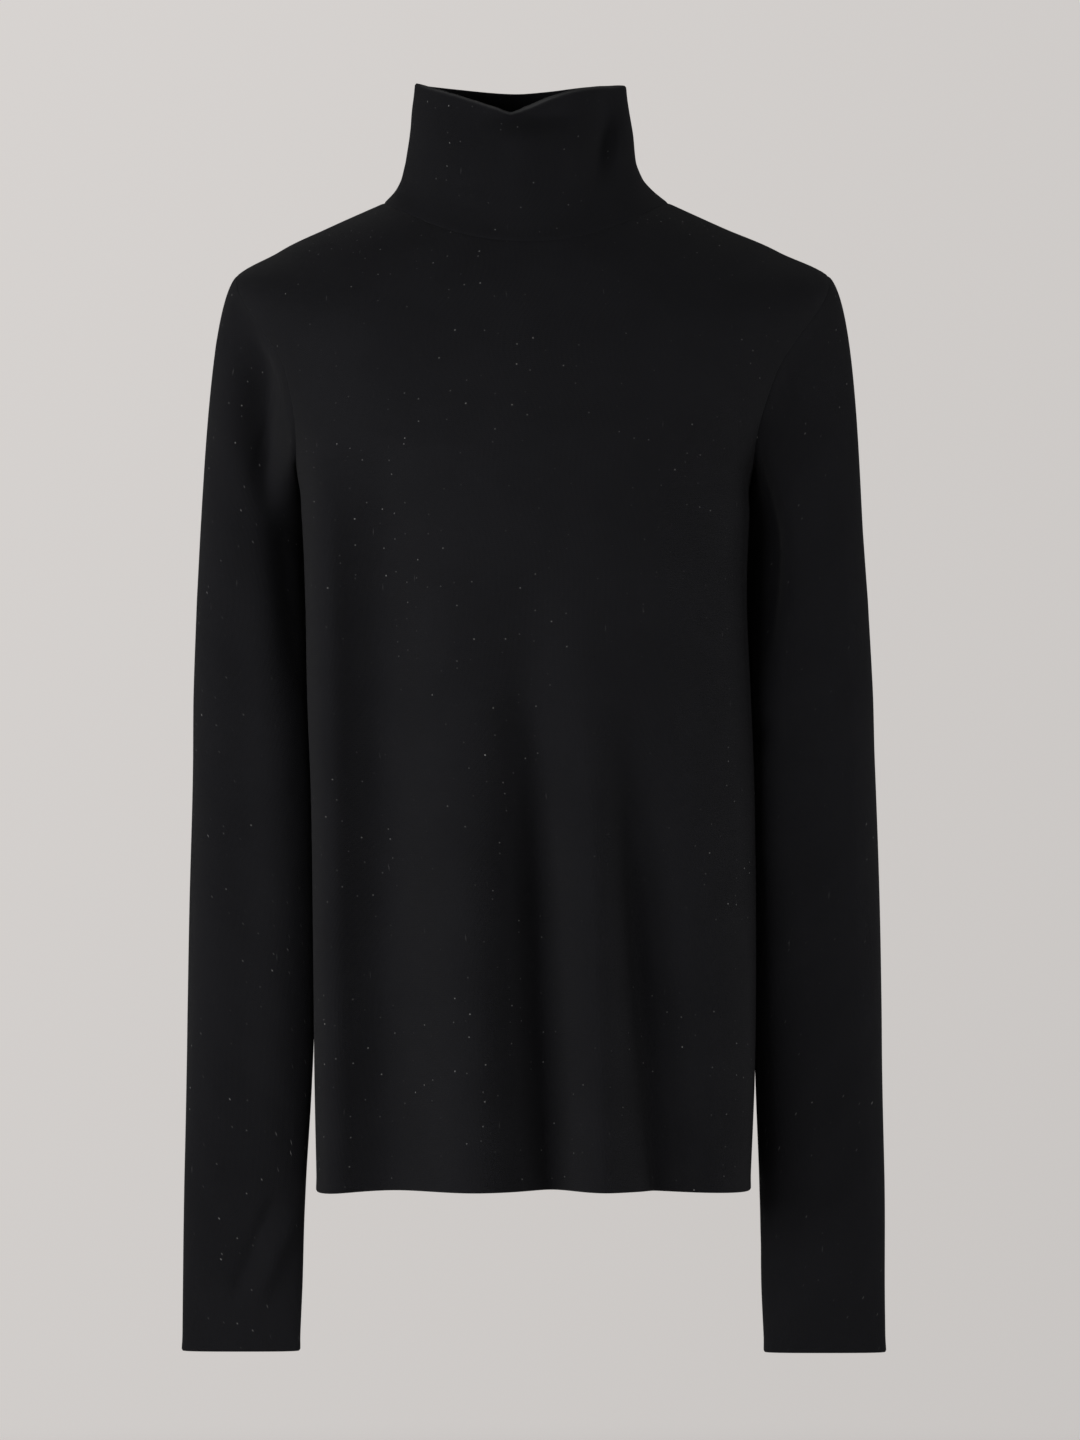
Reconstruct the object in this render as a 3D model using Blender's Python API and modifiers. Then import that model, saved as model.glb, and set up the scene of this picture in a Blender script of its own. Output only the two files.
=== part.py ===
"""Slim fine-knit turtleneck sweater, filled out as it is when worn, with nobody in it.

X points to the wearer's left, -Y to the front and +Z up. The origin is at the foot of the neck, on the line
of the side neck points, where the shoulders of the wearer carry the sweater.

The torso is one smooth surface, lofted through the rings of TORSO_RINGS. The maker's pieces are cut from it:
a front and a back, parted at the side seams, the armholes and the shoulder seams. Each sleeve starts at its
armhole and passes through the sections of its own table. The collar is a standing tube on the neck seam.
Every table gives the middle of the cloth, in millimetres.
"""

from typing import NamedTuple

import bpy
import numpy as np

MM = 0.001

CLOTH_THICKNESS = 2.0
# Gaps at the seams, between the middles of the cloth. Where it turns a corner at a seam, its nearer faces
# stand closer, about 0.3 apart.
PANEL_SEAM_GAP = 0.6
NECK_SEAM_GAP = 0.8
ARMHOLE_SEAM_GAP = 1.0

FRONT_COLUMNS = 28
BACK_COLUMNS = 22
ARMHOLE_STEPS = 12  # along the front half of an armhole, and along its back half
SIDE_SEAM_ROWS = 14
SHOULDER_ROWS = 5
SLEEVE_CAP_ROWS = 9
SLEEVE_TUBE_ROWS = 12
COLLAR_ROWS = 7
CURVE_SAMPLES = 241

COLLECTION_NAME = "turtleneck_sweater"
KNIT_COLOUR = (0.011, 0.011, 0.0125, 1.0)
KNIT_ROUGHNESS = 0.92


class TorsoRing(NamedTuple):
    """One ring round the torso: where it passes the sides, the front centre and the back centre."""

    side_z: float
    right_x: float
    left_x: float
    front_y: float
    front_z: float
    back_y: float
    back_z: float
    fullness: float  # exponent of the superellipse: 2 is an ellipse, more is boxier


TORSO_RINGS = (
    TorsoRing(-571, -121.0, 121.5, -94, -567, 84, -570, 2.4),  # hem
    TorsoRing(-509, -123.4, 125.6, -93, -508, 83, -509, 2.4),
    TorsoRing(-440, -126.6, 127.3, -91, -439, 80, -440, 2.4),
    TorsoRing(-350, -127.8, 127.2, -89, -349, 76, -350, 2.4),  # waist
    TorsoRing(-289, -130.1, 125.0, -93, -287, 77, -289, 2.4),
    TorsoRing(-231, -131.2, 122.5, -101, -227, 82, -230, 2.4),
    TorsoRing(-184, -133.3, 124.0, -106, -176, 87, -180, 2.4),  # bust
    TorsoRing(-156, -137.0, 126.5, -104, -138, 89, -144, 2.4),  # underarm
    TorsoRing(-98, -156.0, 153.0, -98, -109, 88, -105, 2.25),
    TorsoRing(-52, -176.5, 176.0, -91, -83, 83, -67, 2.15),  # past the shoulder point
    TorsoRing(-29.9, -147.5, 141.6, -84, -62, 76, -38, 2.1),
    TorsoRing(-16, -119.0, 109.5, -77, -44, 68, -14, 2.1),
    TorsoRing(-1.5, -86.5, 77.5, -69, -27.5, 58, 7, 2.1),  # neck seam
)
HEM_RING = 0.0
UNDERARM_RING = 7.0
SHOULDER_RING = 9.3
NECK_RING = 12.0

RINGS_PER_DEG = 0.01  # a step of one ring is about as long on the cloth as this many degrees of turn
MOST_SEAM_ANGLE = np.radians(140)
FRONT_ARMHOLE_DEG = 26.0  # how far the armhole is scooped into the front, as an angle of the ring
BACK_ARMHOLE_DEG = 23.0


class Fold(NamedTuple):
    """A soft ridge (relief above 0) or trough (below 0) that runs down the torso and deepens to the hem."""

    top_x: float
    hem_x: float
    start_z: float
    full_z: float
    relief: float
    half_width: float


FRONT_FOLDS = (
    Fold(-119, -116, -110, -250, 4.0, 13),
    Fold(-97, -86, -110, -250, -5.5, 20),
    Fold(-38, -27, -250, -480, 7.0, 25),
    Fold(1, 14, -230, -420, -9.0, 17),
    Fold(38, 43, -270, -480, 5.0, 15),
    Fold(62, 79, -280, -450, -6.0, 18),
    Fold(104, 108, -300, -520, 2.5, 14),
)
BACK_FOLDS = (
    Fold(-104, -108, -240, -480, 3.0, 14),
    Fold(-66, -80, -250, -450, -6.0, 18),
    Fold(-32, -42, -290, -500, 5.0, 16),
    Fold(2, -6, -230, -430, -7.5, 18),
    Fold(28, 38, -280, -500, 5.5, 18),
    Fold(62, 76, -260, -460, -6.0, 19),
    Fold(102, 106, -250, -480, 3.0, 14),
)


class SleeveSection(NamedTuple):
    """One level section of a hanging sleeve, which leans in behind the widest part of the torso.

    inner_x and outer_x are its nearest and farthest reach from the middle of the torso, on either side.
    lean is how far its back is moved in and its front out, as a share of its half width.
    """

    z: float
    inner_x: float
    outer_x: float
    centre_y: float
    half_depth: float
    lean: float
    fullness: float


LEFT_SLEEVE = (
    SleeveSection(-192, 125.8, 189.6, 12, 42, 0.20, 2.2),
    SleeveSection(-231, 124.4, 192.7, 17, 40, 0.30, 2.3),
    SleeveSection(-289, 125.8, 196.3, 20, 37, 0.35, 2.3),
    SleeveSection(-347, 127.4, 199.0, 21, 33, 0.35, 2.3),  # elbow
    SleeveSection(-404, 128.0, 200.8, 20, 29, 0.35, 2.4),
    SleeveSection(-462, 128.3, 201.7, 17, 25, 0.30, 2.5),
    SleeveSection(-508, 129.6, 202.0, 14, 21, 0.20, 2.5),
    SleeveSection(-578, 132.4, 203.2, 12, 15, 0.0, 2.6),
    SleeveSection(-630, 133.3, 203.2, 11, 11, 0.0, 2.8),
    SleeveSection(-667, 135.0, 203.6, 10, 8.5, 0.0, 3.0),  # cuff
)
RIGHT_SLEEVE = (
    SleeveSection(-192, 134.2, 193.0, 20, 42, 0.20, 2.2),
    SleeveSection(-231, 131.8, 195.3, 26, 40, 0.30, 2.3),
    SleeveSection(-289, 131.2, 197.8, 29, 37, 0.35, 2.3),
    SleeveSection(-347, 129.6, 199.2, 30, 33, 0.35, 2.3),  # elbow
    SleeveSection(-404, 129.0, 200.8, 29, 29, 0.35, 2.4),
    SleeveSection(-462, 128.8, 201.7, 27, 25, 0.30, 2.5),
    SleeveSection(-508, 130.2, 202.2, 24, 21, 0.20, 2.5),
    SleeveSection(-578, 134.4, 203.2, 22, 15, 0.0, 2.6),
    SleeveSection(-630, 136.0, 203.8, 20, 11, 0.0, 2.8),
    SleeveSection(-667, 137.6, 204.1, 19, 8.5, 0.0, 3.0),  # cuff
)
# How a sleeve leaves its armhole and lands on its first section: at the shoulder point, at mid armhole and at
# the underarm. The slope is below level.
CAP_SLOPE_DEG = (46.0, 60.0, 20.0)
CAP_PULL = (60.0, 42.0, 12.0)
CAP_LANDING = (105.0, 60.0, 30.0)
CAP_SPREAD = 0.06  # how far the sleeve moves out for each unit of fall where the cap ends


class SleeveCrease(NamedTuple):
    """A crease slanting round a sleeve; its angles run from the sleeve's outer side by way of its front."""

    outer_z: float
    inner_z: float
    relief: float
    half_width: float
    centre_deg: float
    reach_deg: float


LEFT_CREASES = (
    SleeveCrease(-330, -300, -2.5, 16, 120, 65),
    SleeveCrease(-384, -366, 2.0, 18, 90, 110),
    SleeveCrease(-640, -590, -1.6, 16, 120, 70),
)
RIGHT_CREASES = (
    SleeveCrease(-318, -344, -2.5, 16, 100, 60),
    SleeveCrease(-372, -396, 2.0, 18, 90, 110),
    SleeveCrease(-640, -590, -1.8, 18, 120, 70),
)


class CollarRing(NamedTuple):
    """One ring of the collar, at a share of its height."""

    rise: float
    right_x: float
    left_x: float
    front_y: float
    back_y: float
    fullness: float


COLLAR_RINGS = (
    CollarRing(0.0, -86.5, 77.5, -69, 58, 2.1),
    CollarRing(0.1, -80.0, 69.0, -64.5, 54, 2.1),
    CollarRing(0.2, -76.2, 62.7, -61, 51.5, 2.1),
    CollarRing(0.35, -73.6, 58.4, -57, 49.5, 2.1),
    CollarRing(0.6, -71.0, 56.6, -52, 47.5, 2.0),
    CollarRing(0.8, -69.8, 54.3, -48.5, 46, 1.85),
    CollarRing(1.0, -67.8, 52.2, -45.5, 44.5, 1.7),
)
COLLAR_SIDE_TOP = 68.4
COLLAR_BACK_TOP = 67.2
COLLAR_DIP = 19.5  # the front edge hangs in a shallow V this deep
COLLAR_DIP_X = -13.0
COLLAR_DIP_REACH_RIGHT = 56.0
COLLAR_DIP_REACH_LEFT = 54.0
COLLAR_DIP_ROUNDING = 3.0
COLLAR_EDGE_BLEND = 4.0  # how soon the edge reaches its front and back heights, going round from the sides
COLLAR_ROW_CROWDING = 1.15  # above 1, the rows stand closer at the foot


class Dent(NamedTuple):
    """A soft dent (relief below 0) or bulge in the front of the collar."""

    x: float
    z: float
    half_width: float
    half_height: float
    relief: float


COLLAR_DENTS = (
    Dent(4, 38, 26, 16, -3.5),
    Dent(43, 36, 6, 34, -3.0),
    Dent(-48, 20, 20, 30, 1.2),
)


def table(rows):
    """A table of named rows as an array, one column for each field."""
    return np.array(rows, dtype=float)


def spline(rows, place):
    """Smooth curve through the rows (Catmull-Rom), read at place, which counts rows from 0."""
    slopes = np.gradient(rows, axis=0)
    low = np.clip(np.floor(place).astype(int), 0, len(rows) - 2)
    t = (place - low)[..., None]
    return (
        (2 * t**3 - 3 * t**2 + 1) * rows[low]
        + (t**3 - 2 * t**2 + t) * slopes[low]
        + (3 * t**2 - 2 * t**3) * rows[low + 1]
        + (t**3 - t**2) * slopes[low + 1]
    )


def spline_at(rows, key):
    """The same curve read at a value of the rows' first column, which rises or falls all the way."""
    keys = rows[:, 0]
    order = np.argsort(keys)
    return spline(rows, np.interp(key, keys[order], np.arange(len(rows), dtype=float)[order]))


def smooth_step(t):
    """Rises from 0 to 1 with no corner at either end."""
    t = np.clip(t, 0.0, 1.0)
    return t * t * (3.0 - 2.0 * t)


def power(value, exponent):
    """Power that keeps the sign."""
    return np.sign(value) * np.abs(value) ** exponent


def fold_relief(folds, x, z):
    """Sum of the folds' relief at each point, each fold a bell across its width."""
    hem_z = TORSO_RINGS[0].side_z
    total = np.zeros_like(x)
    for fold in folds:
        down = np.clip((fold.start_z - z) / (fold.start_z - hem_z), 0.0, 1.0)
        centre = fold.top_x + (fold.hem_x - fold.top_x) * down
        strength = smooth_step((fold.start_z - z) / (fold.start_z - fold.full_z))
        total += fold.relief * strength * np.exp(-(((x - centre) / fold.half_width) ** 2))
    return total


def torso_points(ring, turn_deg):
    """Points of the torso at a ring number and a turn: 0 is the front, 90 the left side, 180 the back."""
    ring, turn_deg = np.broadcast_arrays(np.asarray(ring, dtype=float), turn_deg)
    row = spline(table(TORSO_RINGS), ring)
    side_z, right_x, left_x, front_y, front_z, back_y, back_z, fullness = np.moveaxis(row, -1, 0)
    turn = np.radians(turn_deg)
    across, along = np.sin(turn), np.cos(turn)
    front = along >= 0
    half_width = (left_x - right_x) / 2
    depth = np.where(front, -front_y, back_y)
    x = (left_x + right_x) / 2 + half_width * power(across, 2 / fullness)
    y = -depth * power(along, 2 / fullness)
    z = side_z + (np.where(front, front_z, back_z) - side_z) * along**2
    relief = np.where(front, fold_relief(FRONT_FOLDS, x, z), fold_relief(BACK_FOLDS, x, z))
    normal_x = power(across, 2 - 2 / fullness) / half_width
    normal_y = -power(along, 2 - 2 / fullness) / depth
    length = np.hypot(normal_x, normal_y)
    return np.stack([x + relief * normal_x / length, y + relief * normal_y / length, z], axis=-1)


def even_turns(ring, first_deg, last_deg, columns):
    """Turns that part the stretch of a ring between two turns into even lengths of cloth."""
    turns = np.linspace(first_deg, last_deg, CURVE_SAMPLES)
    points = torso_points(ring, turns)
    run = np.concatenate([[0.0], np.cumsum(np.linalg.norm(np.diff(points, axis=0), axis=1))])
    return np.interp(np.linspace(0, run[-1], columns + 1), run, turns)


def armhole_rings():
    """Ring numbers from the underarm up to the shoulder point, close together at both ends."""
    middle = (UNDERARM_RING + SHOULDER_RING) / 2
    half = (SHOULDER_RING - UNDERARM_RING) / 2
    return middle - half * np.cos(np.linspace(0, np.pi, ARMHOLE_STEPS + 1))


def armhole_cut(ring, scoop_deg):
    """How far a panel's edge stands back from the side at this ring: half an ellipse, 0 past the armhole."""
    middle = (UNDERARM_RING + SHOULDER_RING) / 2
    half = (SHOULDER_RING - UNDERARM_RING) / 2
    return scoop_deg * np.sqrt(np.clip(1 - ((ring - middle) / half) ** 2, 0, 1))


def panel_grid(middle_deg, scoop_deg, columns):
    """Front or back panel, row by row from the hem to the neck seam."""
    rings = np.concatenate([
        np.linspace(HEM_RING, UNDERARM_RING, SIDE_SEAM_ROWS + 1)[:-1],
        armhole_rings(),
        np.linspace(SHOULDER_RING, NECK_RING, SHOULDER_ROWS + 1)[1:],
    ])
    rows = []
    for ring in rings:
        reach = 90.0 - armhole_cut(ring, scoop_deg)
        turns = even_turns(ring, middle_deg - reach, middle_deg + reach, columns)
        rows.append(torso_points(ring, turns))
    return np.array(rows)


def armhole_curve(side, around, beyond_deg=0.0):
    """The armhole, once round from the shoulder point by way of the front; side is 1 on the wearer's left.

    beyond_deg moves the curve into the hole along the torso's surface.
    """
    ring = (UNDERARM_RING + SHOULDER_RING) / 2 + (SHOULDER_RING - UNDERARM_RING) / 2 * np.cos(around)
    front = around < np.pi
    scoop = np.where(front, FRONT_ARMHOLE_DEG, BACK_ARMHOLE_DEG) * np.abs(np.sin(around))
    scoop -= beyond_deg * np.abs(np.sin(around))
    ring -= beyond_deg * RINGS_PER_DEG * np.cos(around)
    turn = np.where(front, 90.0 - scoop, 90.0 + scoop)
    return torso_points(ring, side * turn)


def corner_gap(seam, before, after):
    """Distance that a piece keeps from a seam where the cloth turns a corner there, so that the walls clear.

    before and after are the ways in which the cloth runs up to the seam and leaves it.
    """
    along = np.roll(seam, -1, axis=0) - np.roll(seam, 1, axis=0)
    along /= np.linalg.norm(along, axis=-1, keepdims=True)
    ways = []
    for way in (before, after):
        across = way - (way * along).sum(axis=-1, keepdims=True) * along
        ways.append(across / np.linalg.norm(across, axis=-1, keepdims=True))
    angle = np.arccos(np.clip((ways[0] * ways[1]).sum(axis=-1), -1, 1))
    half_tangent = np.tan(np.minimum(angle, MOST_SEAM_ANGLE) / 2)
    return (ARMHOLE_SEAM_GAP + CLOTH_THICKNESS / 2 * half_tangent)[:, None]


def sleeve_section(row, side, around):
    """Level section of a sleeve, once round from its outer side by way of the front."""
    z, inner_x, outer_x, centre_y, half_depth, lean, fullness = row
    dual = fullness / (fullness - 1)
    upright = (1 - np.abs(lean) ** dual) ** (1 / dual)  # keeps the width whatever the lean
    across = power(np.cos(around), 2 / fullness)
    forward = power(np.sin(around), 2 / fullness)
    x = (outer_x + inner_x) / 2 + (outer_x - inner_x) / 2 * (upright * across + lean * forward)
    return np.stack([side * x, centre_y - half_depth * forward, np.full_like(x, z)], axis=-1)


def blend_round(values, around):
    """Value round the armhole from those at the shoulder point, mid armhole and underarm."""
    top, middle, bottom = values
    share = np.cos(around)
    return middle + (top - bottom) / 2 * share + ((top + bottom) / 2 - middle) * share**2


def sleeve_grid(sections, creases, side):
    """Sleeve from its armhole to its cuff: a curved cap, then a hanging tube through the sections."""
    sections = table(sections)
    around = np.linspace(0, 2 * np.pi, 2 * ARMHOLE_STEPS + 1)[:-1]
    start = armhole_curve(side, around)
    landing = sleeve_section(sections[0], side, around)
    slope = np.radians(blend_round(CAP_SLOPE_DEG, around))
    leave = np.stack([side * np.cos(slope), np.zeros_like(slope), -np.sin(slope)], axis=-1)
    start = start + leave * corner_gap(start, armhole_curve(side, around, 1.0) - start, leave)
    leave = leave * blend_round(CAP_PULL, around)[:, None]
    arrive = np.zeros_like(leave)
    arrive[:, 2] = -blend_round(CAP_LANDING, around)
    arrive[:, 0] = -side * CAP_SPREAD * arrive[:, 2]
    rows = []
    for t in np.linspace(0, 1, SLEEVE_CAP_ROWS + 1):
        rows.append(
            (2 * t**3 - 3 * t**2 + 1) * start
            + (t**3 - 2 * t**2 + t) * leave
            + (3 * t**2 - 2 * t**3) * landing
            + (t**3 - t**2) * arrive
        )
    for z in np.linspace(sections[0, 0], sections[-1, 0], SLEEVE_TUBE_ROWS + 1)[1:]:
        rows.append(sleeve_section(spline_at(sections, z), side, around))
    grid = np.array(rows)
    outward = grid - grid.mean(axis=1, keepdims=True)
    outward[..., 2] = 0
    outward /= np.linalg.norm(outward, axis=-1, keepdims=True)
    for crease in creases:
        line = (crease.outer_z + crease.inner_z) / 2 + (crease.outer_z - crease.inner_z) / 2 * np.cos(around)
        bell = np.exp(-(((grid[..., 2] - line) / crease.half_width) ** 2))
        away = (np.degrees(around) - crease.centre_deg) / crease.reach_deg
        grid = grid + (crease.relief * bell * np.exp(-(away**2)))[..., None] * outward
    return grid


def collar_top(x, front):
    """Height of the collar's upper edge: level at the back, a shallow V at the front."""
    reach = np.where(x < COLLAR_DIP_X, COLLAR_DIP_REACH_RIGHT, COLLAR_DIP_REACH_LEFT)
    away = np.hypot(x - COLLAR_DIP_X, COLLAR_DIP_ROUNDING)
    front_top = COLLAR_SIDE_TOP - COLLAR_DIP * np.clip(1 - away / reach, 0, 1)
    return np.where(front, front_top, COLLAR_BACK_TOP)


def collar_grid():
    """Collar from the neck seam up, its columns in line with those of the front and the back."""
    front_turns = even_turns(NECK_RING, -90, 90, FRONT_COLUMNS)
    back_turns = even_turns(NECK_RING, 90, 270, BACK_COLUMNS)
    turn = np.radians(np.concatenate([front_turns[:-1], back_turns[:-1]]))
    across, along = np.sin(turn), np.cos(turn)
    front = along >= 0
    foot_z = torso_points(NECK_RING, np.degrees(turn))[:, 2]
    rings = table(COLLAR_RINGS)
    top_row = rings[-1]
    top_x = (top_row[2] + top_row[1]) / 2 + (top_row[2] - top_row[1]) / 2 * power(across, 2 / top_row[5])
    level = along**2
    past_side = np.clip(COLLAR_EDGE_BLEND * level, 0, 1)
    top_z = COLLAR_SIDE_TOP + (collar_top(top_x, front) - COLLAR_SIDE_TOP) * past_side
    rows = []
    for rise in np.linspace(0, 1, COLLAR_ROWS + 1) ** COLLAR_ROW_CROWDING:
        _, right_x, left_x, front_y, back_y, fullness = spline_at(rings, rise)
        x = (left_x + right_x) / 2 + (left_x - right_x) / 2 * power(across, 2 / fullness)
        y = np.where(front, front_y, -back_y) * power(along, 2 / fullness)
        z = foot_z + (top_z - foot_z) * rise
        for dent in COLLAR_DENTS:
            bell = np.exp(-(((x - dent.x) / dent.half_width) ** 2) - ((z - dent.z) / dent.half_height) ** 2)
            y = y - np.where(front, dent.relief * bell * level, 0)
        rows.append(np.stack([x, y, z], axis=-1))
    return np.array(rows)


def eased(grid, gap, *edges):
    """The grid with the named edges drawn back by half the gap towards the row or column beside them."""
    grid = grid.copy()
    beside = {
        "first_row": (np.s_[0], np.s_[1]),
        "last_row": (np.s_[-1], np.s_[-2]),
        "first_column": (np.s_[:, 0], np.s_[:, 1]),
        "last_column": (np.s_[:, -1], np.s_[:, -2]),
    }
    for edge in edges:
        outer, inner = beside[edge]
        step = grid[inner] - grid[outer]
        grid[outer] += step * (gap / 2) / np.linalg.norm(step, axis=-1, keepdims=True)
    return grid


def knit_material(name):
    material = bpy.data.materials.new(name)
    material.use_nodes = True
    shader = material.node_tree.nodes["Principled BSDF"]
    shader.inputs["Base Color"].default_value = KNIT_COLOUR
    shader.inputs["Roughness"].default_value = KNIT_ROUGHNESS
    shader.inputs["Metallic"].default_value = 0.0
    return material


def cloth_piece(name, grid, closed, flipped, collection):
    """An open surface through the grid, with the cloth's thickness from Solidify."""
    rows, columns, _ = grid.shape
    index = np.arange(rows * columns).reshape(rows, columns)
    if closed:
        index = np.concatenate([index, index[:, :1]], axis=1)
    faces = np.stack([index[:-1, :-1], index[:-1, 1:], index[1:, 1:], index[1:, :-1]], axis=-1)
    faces = faces.reshape(-1, 4)
    if flipped:
        faces = faces[:, ::-1]
    mesh = bpy.data.meshes.new(name)
    mesh.from_pydata((grid.reshape(-1, 3) * MM).tolist(), [], faces.tolist())
    mesh.shade_smooth()
    mesh.materials.append(knit_material(f"{name}_knit"))
    piece = bpy.data.objects.new(name, mesh)
    collection.objects.link(piece)
    solidify = piece.modifiers.new("cloth", "SOLIDIFY")
    solidify.thickness = CLOTH_THICKNESS * MM
    solidify.offset = 0.0
    return piece


def main():
    for item in list(bpy.data.objects):
        bpy.data.objects.remove(item, do_unlink=True)
    collection = bpy.data.collections.new(COLLECTION_NAME)
    bpy.context.scene.collection.children.link(collection)

    for name, middle_deg, scoop_deg, columns in (
        ("front", 0.0, FRONT_ARMHOLE_DEG, FRONT_COLUMNS),
        ("back", 180.0, BACK_ARMHOLE_DEG, BACK_COLUMNS),
    ):
        panel = panel_grid(middle_deg, scoop_deg, columns)
        panel = eased(panel, PANEL_SEAM_GAP, "first_column", "last_column")
        cloth_piece(name, eased(panel, NECK_SEAM_GAP, "last_row"), False, False, collection)

    for name, sections, creases, side in (
        ("sleeve_left", LEFT_SLEEVE, LEFT_CREASES, 1),
        ("sleeve_right", RIGHT_SLEEVE, RIGHT_CREASES, -1),
    ):
        cloth_piece(name, sleeve_grid(sections, creases, side), True, side < 0, collection)

    collar = eased(collar_grid(), NECK_SEAM_GAP, "first_row")
    cloth_piece("collar", collar, True, False, collection)


main()
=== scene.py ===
"""Looks of a slim black turtleneck sweater in fine plain knit, filled out as when worn, with nobody in it.

X points to the wearer's left, -Y to the front and +Z up, from an origin at the foot of the neck. Sizes in
the tables are millimetres and give the middle of the cloth; meshes are written in metres. Each knitted
piece is a thin closed shell on a grid of points, with rounded free edges and with edges that dip into a
groove where it is sewn.
"""

import logging
import math
from dataclasses import astuple, dataclass, field
from enum import Enum
from typing import Sequence

import bpy
import numpy as np
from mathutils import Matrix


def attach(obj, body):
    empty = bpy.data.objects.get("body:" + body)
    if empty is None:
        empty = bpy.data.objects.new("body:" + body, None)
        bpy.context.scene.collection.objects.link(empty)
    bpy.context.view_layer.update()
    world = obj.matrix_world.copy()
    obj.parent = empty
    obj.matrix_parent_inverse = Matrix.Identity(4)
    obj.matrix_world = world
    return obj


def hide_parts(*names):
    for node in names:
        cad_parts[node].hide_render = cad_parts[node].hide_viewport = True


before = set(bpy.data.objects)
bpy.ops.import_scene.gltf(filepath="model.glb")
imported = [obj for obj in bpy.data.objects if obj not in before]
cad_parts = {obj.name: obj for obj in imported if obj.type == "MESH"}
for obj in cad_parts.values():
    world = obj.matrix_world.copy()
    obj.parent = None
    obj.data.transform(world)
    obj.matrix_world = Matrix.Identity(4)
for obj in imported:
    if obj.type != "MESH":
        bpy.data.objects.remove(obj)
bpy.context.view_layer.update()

MM = 0.001
BODY = "root"
UV_NAME = "cloth"
# name of the vertex attribute that holds the painted highlight's strength
HIGHLIGHT_NAME = "pale_edge"
CURVE_SAMPLES = 361
TURN = 2 * np.pi
TINY = 1e-12

Array = np.ndarray
Number = Array | float
Pair = tuple[float, float]
Triple = tuple[float, float, float]
Socket = bpy.types.NodeSocket

log = logging.getLogger("sweater")


# ---------------- numbers and curves


def table(rows: Sequence) -> Array:
    """One line for each row of named values and one column for each field."""
    return np.array([astuple(row) for row in rows], dtype=float)


def cubic(t: Array, start: Array, leave: Array, end: Array, arrive: Array) -> Array:
    """A cubic for t from 0 to 1 that leaves its start and reaches its end at given speeds: Hermite's."""
    return (
        (2 * t**3 - 3 * t**2 + 1) * start
        + (t**3 - 2 * t**2 + t) * leave
        + (3 * t**2 - 2 * t**3) * end
        + (t**3 - t**2) * arrive
    )


def curve_through(rows: Array, place: Number) -> Array:
    """Reads a smooth curve through the rows.

    Catmull-Rom: between two rows, a cubic that passes each at half the step between its neighbours.

    Args:
        rows: Points of any number of columns.
        place: Where to read, counted in rows from 0.

    Returns:
        The values there, with the columns last.
    """
    slopes = np.gradient(rows, axis=0)
    place = np.asarray(place, dtype=float)
    low = np.clip(np.floor(place).astype(int), 0, len(rows) - 2)
    t = (place - low)[..., None]
    return cubic(t, rows[low], slopes[low], rows[low + 1], slopes[low + 1])


def curve_at(rows: Array, key: Number) -> Array:
    """Reads the same curve at a value of its first column, which rises or falls all the way."""
    order = np.argsort(rows[:, 0])
    return curve_through(rows, np.interp(key, rows[order, 0], order))


def smooth_step(t: Number) -> Array:
    """Rises from 0 to 1 with no corner at either end: 3 t squared less 2 t cubed."""
    t = np.clip(t, 0.0, 1.0)
    return t * t * (3.0 - 2.0 * t)


def bell(away: Number, width: Number) -> Array:
    """Falls from 1 on both sides: e to the power of minus the square of distance over width."""
    return np.exp(-((away / width) ** 2))


def signed_power(value: Array, exponent: Number) -> Array:
    """Raises the size of a value to a power and keeps its sign."""
    return np.sign(value) * np.abs(value) ** exponent


def unit(vectors: Array) -> Array:
    """Vectors of length 1 along the last axis."""
    return vectors / np.maximum(np.linalg.norm(vectors, axis=-1, keepdims=True), TINY)


def square_to(vectors: Array, along: Array) -> Array:
    """Unit vectors at a right angle to unit directions: what is left without the part along them."""
    return unit(vectors - (vectors * along).sum(axis=-1, keepdims=True) * along)


def looped(grid: Array) -> Array:
    """A grid with its first column once more after its last."""
    return np.concatenate([grid, grid[:, :1]], axis=1)


def quads(index: Array) -> Array:
    """Faces between neighbouring rows and columns of a grid of numbers, four corners each."""
    corners = np.stack([index[:-1, :-1], index[:-1, 1:], index[1:, 1:], index[1:, :-1]], axis=-1)
    return corners.reshape(-1, 4)


def once_round(grid: Array) -> Array:
    """The border of a grid as one loop, from its first corner along the first row."""
    return np.concatenate([grid[0, :-1], grid[:-1, -1], grid[-1, :0:-1], grid[:0:-1, 0]])


def run_along(points: Array, axis: int) -> Array:
    """Length of cloth from the first line of a grid to each line.

    Args:
        points: Grid of points, rows by columns by 3, or a single line of them.
        axis: 0 runs down the rows and 1 along the columns.

    Returns:
        One length for each point, 0 on the first line.
    """
    steps = np.linalg.norm(np.diff(points, axis=axis), axis=-1)
    start = np.zeros_like(np.take(steps, [0], axis=axis))
    return np.concatenate([start, np.cumsum(steps, axis=axis)], axis=axis)


def grid_normals(points: Array, closed: bool) -> Array:
    """Unit normals of a grid: the cross product of its steps along a row and down the rows.

    Args:
        points: Rows by columns by 3.
        closed: Whether the last column meets the first.

    Returns:
        Normals of the same shape, outwards on a grid whose rows rise and whose columns turn to +X.
    """
    if closed:
        along = np.roll(points, -1, axis=1) - np.roll(points, 1, axis=1)
    else:
        along = np.gradient(points, axis=1)
    return unit(np.cross(along, np.gradient(points, axis=0)))


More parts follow.
